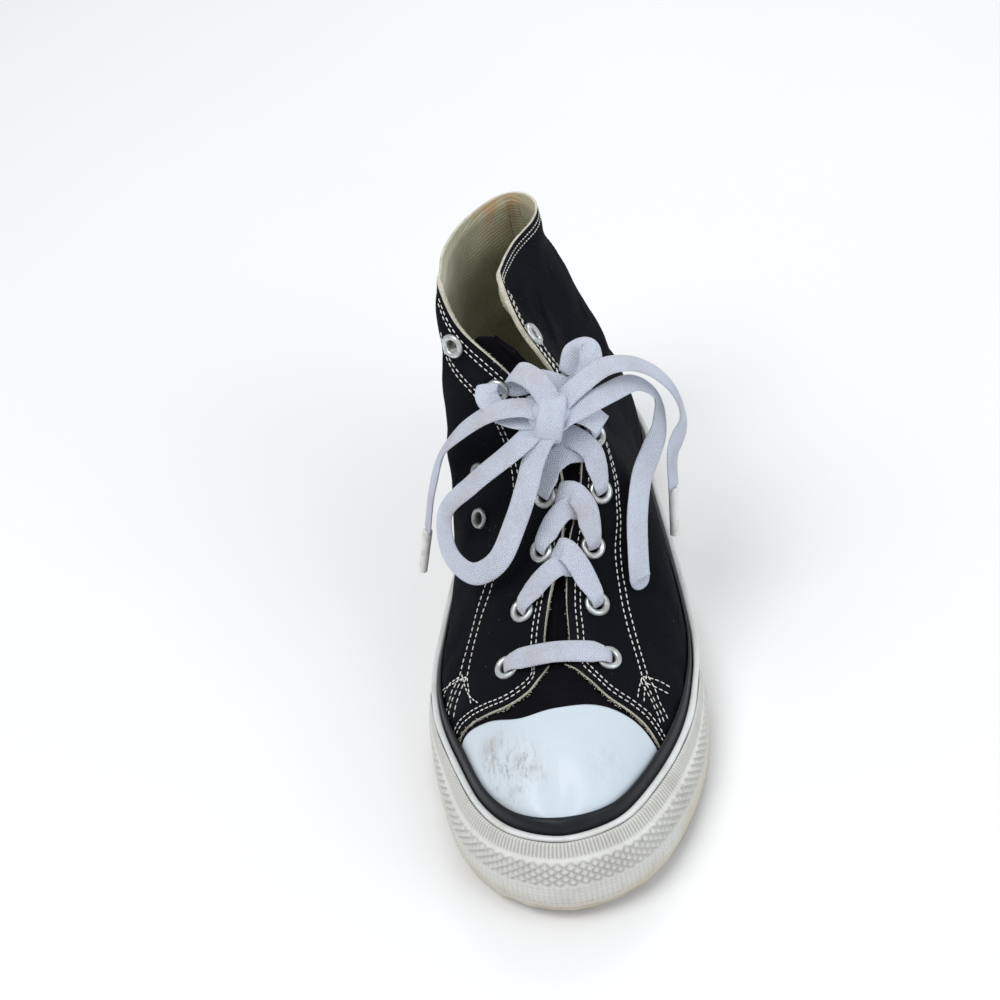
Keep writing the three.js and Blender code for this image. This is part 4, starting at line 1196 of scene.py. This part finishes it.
eyelets = make_eyelets()
eyelet_nodes = [f"eyelet_{side}_{row}" for side in ("outer", "inner") for row in range(1, 8)]
dress(eyelets, "eyelet_metal", [metal_dull], *eyelet_nodes, "eyelet_vent_1", "eyelet_vent_2")

# %% [markdown]
# ## Thread
# Each stitch is a small rounded bead of thread lying in its dip. Hundreds are needed, so a bead
# has only twenty faces, and all of them are one mesh. A few short fibres stand out from the raw
# edges of the facings, where the cloth has frayed.


# %% Beads of thread
def add_bead(bm, middle, along, normal, length, thick):
    along = unit(along)
    across = unit(np.cross(normal, along))
    out = np.cross(along, across)
    turn = Matrix([[*row, 0] for row in np.stack([along, across, out], 1)] + [[0, 0, 0, 1]])
    size = Matrix.Diagonal((length * 0.0005, thick * 0.0005, thick * 0.0005, 1))
    place = Matrix.Translation(Vector((middle + frame_shift) * 0.001))
    bmesh.ops.create_icosphere(bm, subdivisions=1, radius=1.0, matrix=place @ turn @ size)


stitch_mesh = bmesh.new()
stitch_count = 0
for w, t in sewn_rows:
    sw, st, step = even_places(w, t, 2.4, 0)
    spots = layer(sw, st, canvas_relief(sw, st) + 0.22)
    normals = last_normal(sw, st)
    ways = np.gradient(spots, axis=0)
    for spot, way, normal in zip(spots, ways, normals):
        add_bead(stitch_mesh, spot, way, normal, step * 0.84, 0.5)
        stitch_count += 1
stitches = finish_mesh("thread_stitches", stitch_mesh)
dress(stitches, "lace_cloth", [cream_thread])
print("stitches:", stitch_count)

# %% Frayed fibres along the raw edges
dice = np.random.default_rng(7)
fray_mesh = bmesh.new()
for side in (0, 1):
    shares = np.linspace(corner_share + 0.01, throat_end - 0.01, 150)
    w = shares if side == 0 else 2 - shares
    edge_runs = [(w, np.full(150, 1.0))]
    t_front = np.linspace(0.97, 0.1, 60)
    s_front = quarter_edge(t_front)[..., side]
    edge_runs.append((s_front if side == 0 else 2 - s_front, t_front))
    for ew, et in edge_runs:
        spots = layer(ew, et, -dice.uniform(0.2, 1.8, len(ew)))
        ways = np.gradient(spots, axis=0) + dice.normal(0, 0.9, spots.shape)
        normals = last_normal(ew, et)
        for spot, way, normal in zip(spots, ways, normals):
            add_bead(fray_mesh, spot, way, normal, dice.uniform(1.2, 2.4), 0.28)
fray = finish_mesh("thread_fray", fray_mesh)
dress(fray, "lace_cloth", [edge_cream])

# %% [markdown]
# ## Laces
# The lace is a flat braid. A ribbon is a grid whose rows go round a thin oval section and whose
# columns follow a route, with a direction for its face at each point. It narrows where it goes
# through an eyelet.


# %% A ribbon along a route
def make_ribbon(name, points, faces, widths=None, thickness=lace_thickness, steps=None, sides=14):
    count = len(points)
    steps = steps or count * 6
    share = np.linspace(0, 1, steps + 1)
    line = through_marks(points, share)
    face = unit(through_marks(faces, share))
    wide = np.ones(count) if widths is None else np.array(widths, float)
    wide = np.interp(share, np.linspace(0, 1, count), wide) * lace_width
    along = unit(np.gradient(line, axis=0))
    across = unit(np.cross(along, face))
    out = np.cross(across, along)
    angle = np.linspace(0, 2 * math.pi, sides + 1)
    flat = np.sign(np.cos(angle)) * np.abs(np.cos(angle)) ** 0.75
    full = np.sign(np.sin(angle)) * np.abs(np.sin(angle)) ** 0.6

    def place(u, v):
        c = np.rint(u * steps).astype(int)
        r = np.rint(v * sides).astype(int)
        wave = 0.12 * np.sin(c * 0.9 + r)
        return (
            line[c]
            + across[c] * (flat[r] * wide[c] / 2)[..., None]
            + out[c] * (full[r] * thickness / 2 * (1 + 0.3 * wave))[..., None]
        )

    ribbon = make_sheet(name, steps, sides, place, closed=True)
    return ribbon, (line + frame_shift) * 0.001


# %% Strands through the eyelets
lace_rise = 0.7 + 0.8 + 0.3 + lace_thickness / 2


def through_eyelet(row, inner, reach, tuck=True, lift=0.0):
    w, t = eyelet_places[2 * row + (1 if inner else 0)]
    low = eyelet_places[2 * row][0]
    high = eyelet_places[2 * row + 2][0]

    def on(side_inner, s):
        return 2 - s if side_inner else s

    hole = last_point(w, t)
    normal = last_normal(w, t)
    target = layer(on(inner, lerp(low, high, reach)), 1.0, np.array(lace_rise + 0.5), 1.0)
    away = unit(hole - target)
    points = [hole - normal * 2.6 - away * 0.2, hole + normal * 0.4 + away * 0.5]
    faces = [away, away]
    widths = [0.45, 0.5]
    points.append(hole + normal * (lace_rise + 0.35 + lift) - away * 2.2)
    faces.append(unit(normal + 0.4 * away))
    widths.append(0.72)
    for f in (0.42, 0.7):
        s = on(inner, lerp(low, high, f * reach))
        points.append(layer(s, lerp(t, 1, f), np.array(lace_rise + 0.35 + lift)))
        faces.append(last_normal(s, lerp(t, 1, f)))
        widths.append(1.0)
    points.append(target + normal * lift)
    faces.append(last_normal(on(inner, lerp(low, high, reach)), 0.98))
    widths.append(1.0)
    if tuck:
        for f, depth in ((1.12, 0.2), (1.3, -2.7), (1.5, -2.75)):
            s = on(not inner, lerp(low, high, reach * f))
            points.append(layer(s, 1.0 - 0.22 * (f - 1), np.array(depth)))
            faces.append(last_normal(s, 0.96))
            widths.append(1.0)
    return np.array(points), np.array(faces), widths


def dress_lace(piece, *nodes):
    return dress(piece, "lace_cloth", [lace_white], *nodes)


for row in range(1, 5):
    for inner, reach, lift in ((False, 0.74, 0.5), (True, 0.46, 0.0)):
        strand = through_eyelet(row, inner, reach, True, lift)
        side_name = "inner" if inner else "outer"
        made, _ = make_ribbon(f"lace_strand_{row + 1}_{side_name}", *strand)
        dress_lace(made, f"lace_cross_{row + 1}")

# %% The lowest bar
left, left_faces, left_widths = through_eyelet(0, True, -0.12, False)
right, right_faces, right_widths = through_eyelet(0, False, -0.12, False)
bar_points = np.concatenate([left[:-1], [(left[-1] + right[-1]) / 2 + [0, 0, 0.4]], right[:-1][::-1]])
bar_faces = np.concatenate([left_faces[:-1], [[0, -0.3, 1]], right_faces[:-1][::-1]])
bar, _ = make_ribbon("lace_bar", bar_points, bar_faces, left_widths[:-1] + [1.0] + right_widths[:-1][::-1])
dress_lace(bar, "lace_bar_1")

# %% [markdown]
# ## The bow
# The tails rise from the last laced eyelets to the knot, and two loops and two ends leave it.
# Each route is laid from the frame, and the length of each route is printed. The face of the
# lace mostly looks away from the shaft.

# %% Routes of the bow
routes = {
    "tail_inner": [
        [-11, 15, 114], [-13.6, 11.5, 119], [-15, 8.5, 123], [-15.6, 4.5, 121.4],
        [-12, 0, 117.4], [-6, -3, 115.4], [3, -4.4, 114.6],
    ],
    "tail_outer": [
        [12, 15.5, 114.5], [14.2, 13, 120], [17.5, 18, 128], [21.5, 18, 129.5],
        [22.5, 11.5, 126], [18.5, 5, 121.5], [10, -1, 118],
    ],
    "loop_inner": [
        [1.6, -7, 113.4], [-8, -12.5, 108.6], [-24, -11, 95], [-37, -6, 78], [-37, -14, 67],
        [-28, -28, 67], [-18, -32, 75], [-10, -26, 87], [-4.4, -20, 98], [-1, -15, 105.5],
        [2.6, -11, 110.5], [6, -7, 113.4],
    ],
    "loop_outer": [
        [9, -6, 114.6], [17, -5, 118], [27, -1, 120.4], [37, 10, 116], [44, 16, 105],
        [44, 13, 93], [40, 7, 86],
        [36, -4, 84], [33, -18, 77], [31.6, -31, 64.5], [31.6, -33.4, 61.4], [31.5, -31.8, 60],
        [31.6, -27.6, 62.6], [32.6, -16, 74.6], [35.4, -3, 81.4],
    ],
    "end_outer": [
        [9, -3, 119], [17, 1, 123.4], [28, 6, 127.4], [40, 13, 121], [50, 16, 108],
        [53, 16, 94], [48, 11, 81], [47, 7, 69],
    ],
    "end_inner": [
        [4, -5, 118], [-2, -4, 120.5], [-13, -3, 119.5], [-28, 3, 107], [-37, 13, 90],
        [-43, 13, 74], [-47, 11, 58],
    ],
}
shaft_middle = np.array([0, 20, 40])
bow = {}
for name, route in routes.items():
    marks = np.array(route, float)
    faces = unit(marks - shaft_middle)
    bow[name], line = make_ribbon(f"lace_{name}_braid", marks, faces, steps=len(marks) * 9)
    dress_lace(bow[name], f"lace_{name}")
    run = float(np.linalg.norm(np.diff(line, axis=0), axis=1).sum())
    print(name, "is", round(run * 1000), "mm long")
    bow[name + "_line"], bow[name + "_run"] = line, run

# %% Knot: a rounded core and a band wrapped over it
knot_middle = np.array([6.3, -3.8, 115.2])
knot_bm = bmesh.new()
bmesh.ops.create_icosphere(knot_bm, subdivisions=4, radius=0.001)
knot_size = Matrix.Diagonal((8.2, 5.6, 7.0, 1))
knot_place = Matrix.Translation(Vector((knot_middle + frame_shift) * 0.001))
bmesh.ops.transform(knot_bm, matrix=knot_place @ knot_size, verts=knot_bm.verts)
knot = finish_mesh("lace_knot_core", knot_bm)
dress_lace(knot, "lace_knot")
look = unit(np.array([0.1, -0.75, 0.6]))
up_way = unit(np.array([0.25, 0.55, 0.8]) - look * (np.array([0.25, 0.55, 0.8]) @ look))
turns = np.linspace(-0.62 * math.pi, 0.62 * math.pi, 9)
wrap_points = [knot_middle + look * (6.6 * math.cos(a)) + up_way * (8.2 * math.sin(a)) for a in turns]
wrap_faces = [look * math.cos(a) + up_way * math.sin(a) for a in turns]
wrap, _ = make_ribbon("lace_knot_wrap", wrap_points, wrap_faces, [1.15] * 9, 2.2)
dress_lace(wrap)

# %% A short band from the throat into the knot, and a stub that leaves it
shaft_middle_high = np.array([0, 20, 100])
band_marks = np.array([
    [-6, 15, 119], [-5.5, 10, 126], [-2, 5, 129.4], [3, 0, 128.2], [6.6, -4, 123], [7, -5.5, 117],
])
band_faces = unit(band_marks - shaft_middle_high)
band, _ = make_ribbon("lace_knot_band", band_marks, band_faces, [0.8, 1, 1.05, 1.05, 1, 0.9])
dress_lace(band)
stub_marks = np.array([[8, -3, 116.5], [14, -4, 117.4], [20, -5, 114.8], [24.4, -6, 110.4]])
stub, _ = make_ribbon("lace_knot_stub", stub_marks, unit(stub_marks - shaft_middle_high))
dress_lace(stub)


# %% Tips of the two free ends
def make_tip(name, route, node):
    before, end = np.array(route[-2], float), np.array(route[-1], float)
    along = unit(end - before)
    bm = bmesh.new()
    bmesh.ops.create_cone(
        bm, cap_ends=True, segments=24, radius1=0.0019, radius2=0.0016, depth=0.019,
    )
    rims = [e for e in bm.edges if len(e.link_faces) == 2 and e.calc_face_angle() > 1]
    bmesh.ops.bevel(
        bm, geom=rims, offset=0.0004, segments=3, affect="EDGES", profile=0.5, material=-1,
    )
    turn = Vector((0, 0, 1)).rotation_difference(Vector(along)).to_matrix().to_4x4()
    middle = (end + along * 9.8 + frame_shift) * 0.001
    bmesh.ops.transform(bm, matrix=Matrix.Translation(Vector(middle)) @ turn, verts=bm.verts)
    return dress(finish_mesh(name, bm), "lace_tip", [tip_finish], node)


tip_outer = make_tip("tip_outer", routes["end_outer"], "aglet_outer")
tip_inner = make_tip("tip_inner", routes["end_inner"], "aglet_inner")

# %% [markdown]
# ## Floor, light and camera
# The photograph is a plain studio shot: a white ground, soft light from everywhere and almost no
# shadow. The camera stands where it sees the shoe at the photograph's angle, rolled a little.


# %% Floor
def pale_floor():
    f = Finish("floor pale", 0.85)
    f.color(f.mix(f.noise(3, 2), (0.86, 0.86, 0.86), (0.9, 0.9, 0.9)))
    return f.material


floor_mesh = bmesh.new()
bmesh.ops.create_grid(floor_mesh, x_segments=8, y_segments=8, size=4.0)
floor = finish_mesh("floor", floor_mesh)
floor.data.materials.append(pale_floor())

# %% Camera at the photograph's angle
azimuth, elevation, roll = math.radians(6.0), math.radians(38.5), math.radians(-9.9)
level = math.cos(elevation)
back = Vector((math.sin(azimuth) * level, -math.cos(azimuth) * level, math.sin(elevation)))
right = Vector((math.cos(azimuth), math.sin(azimuth), 0))
above = back.cross(right)
rolled_right = right * math.cos(roll) + above * math.sin(roll)
rolled_up = above * math.cos(roll) - right * math.sin(roll)
camera_data = bpy.data.cameras.new("camera")
camera_data.lens, camera_data.sensor_width, camera_data.sensor_fit = 72, 36, "HORIZONTAL"
camera_data.clip_start, camera_data.clip_end = 0.01, 50
camera = bpy.data.objects.new("camera", camera_data)
bpy.context.scene.collection.objects.link(camera)
turn = Matrix((rolled_right, rolled_up, back)).transposed().to_4x4()
camera.matrix_world = Matrix.Translation(Vector((43.8, -572.8, 535.3)) * 0.001) @ turn
bpy.context.scene.camera = camera


# %% Soft studio light
def soft_light(name, place, size, power, colour=(1, 1, 1)):
    data = bpy.data.lights.new(name, "AREA")
    data.shape, data.size, data.energy, data.color = "DISK", size, power, colour
    lamp = bpy.data.objects.new(name, data)
    bpy.context.scene.collection.objects.link(lamp)
    aim = Vector((0, 0, 0.05)) - Vector(place)
    lamp.matrix_world = Matrix.Translation(Vector(place)) @ aim.to_track_quat("-Z", "Y").to_matrix().to_4x4()


soft_light("key", (-0.5, -0.5, 1.3), 0.8, 9, (1.0, 0.99, 0.97))
soft_light("fill", (0.9, -0.6, 0.8), 0.9, 4, (0.94, 0.97, 1.0))
soft_light("back", (0.2, 0.9, 0.9), 0.7, 3)
world = bpy.data.worlds.new("studio")
world.use_nodes = True
world.node_tree.nodes["Background"].inputs["Color"].default_value = (0.93, 0.96, 1.0, 1)
world.node_tree.nodes["Background"].inputs["Strength"].default_value = 0.62
bpy.context.scene.world = world
bpy.context.scene.view_settings.view_transform = "Standard"
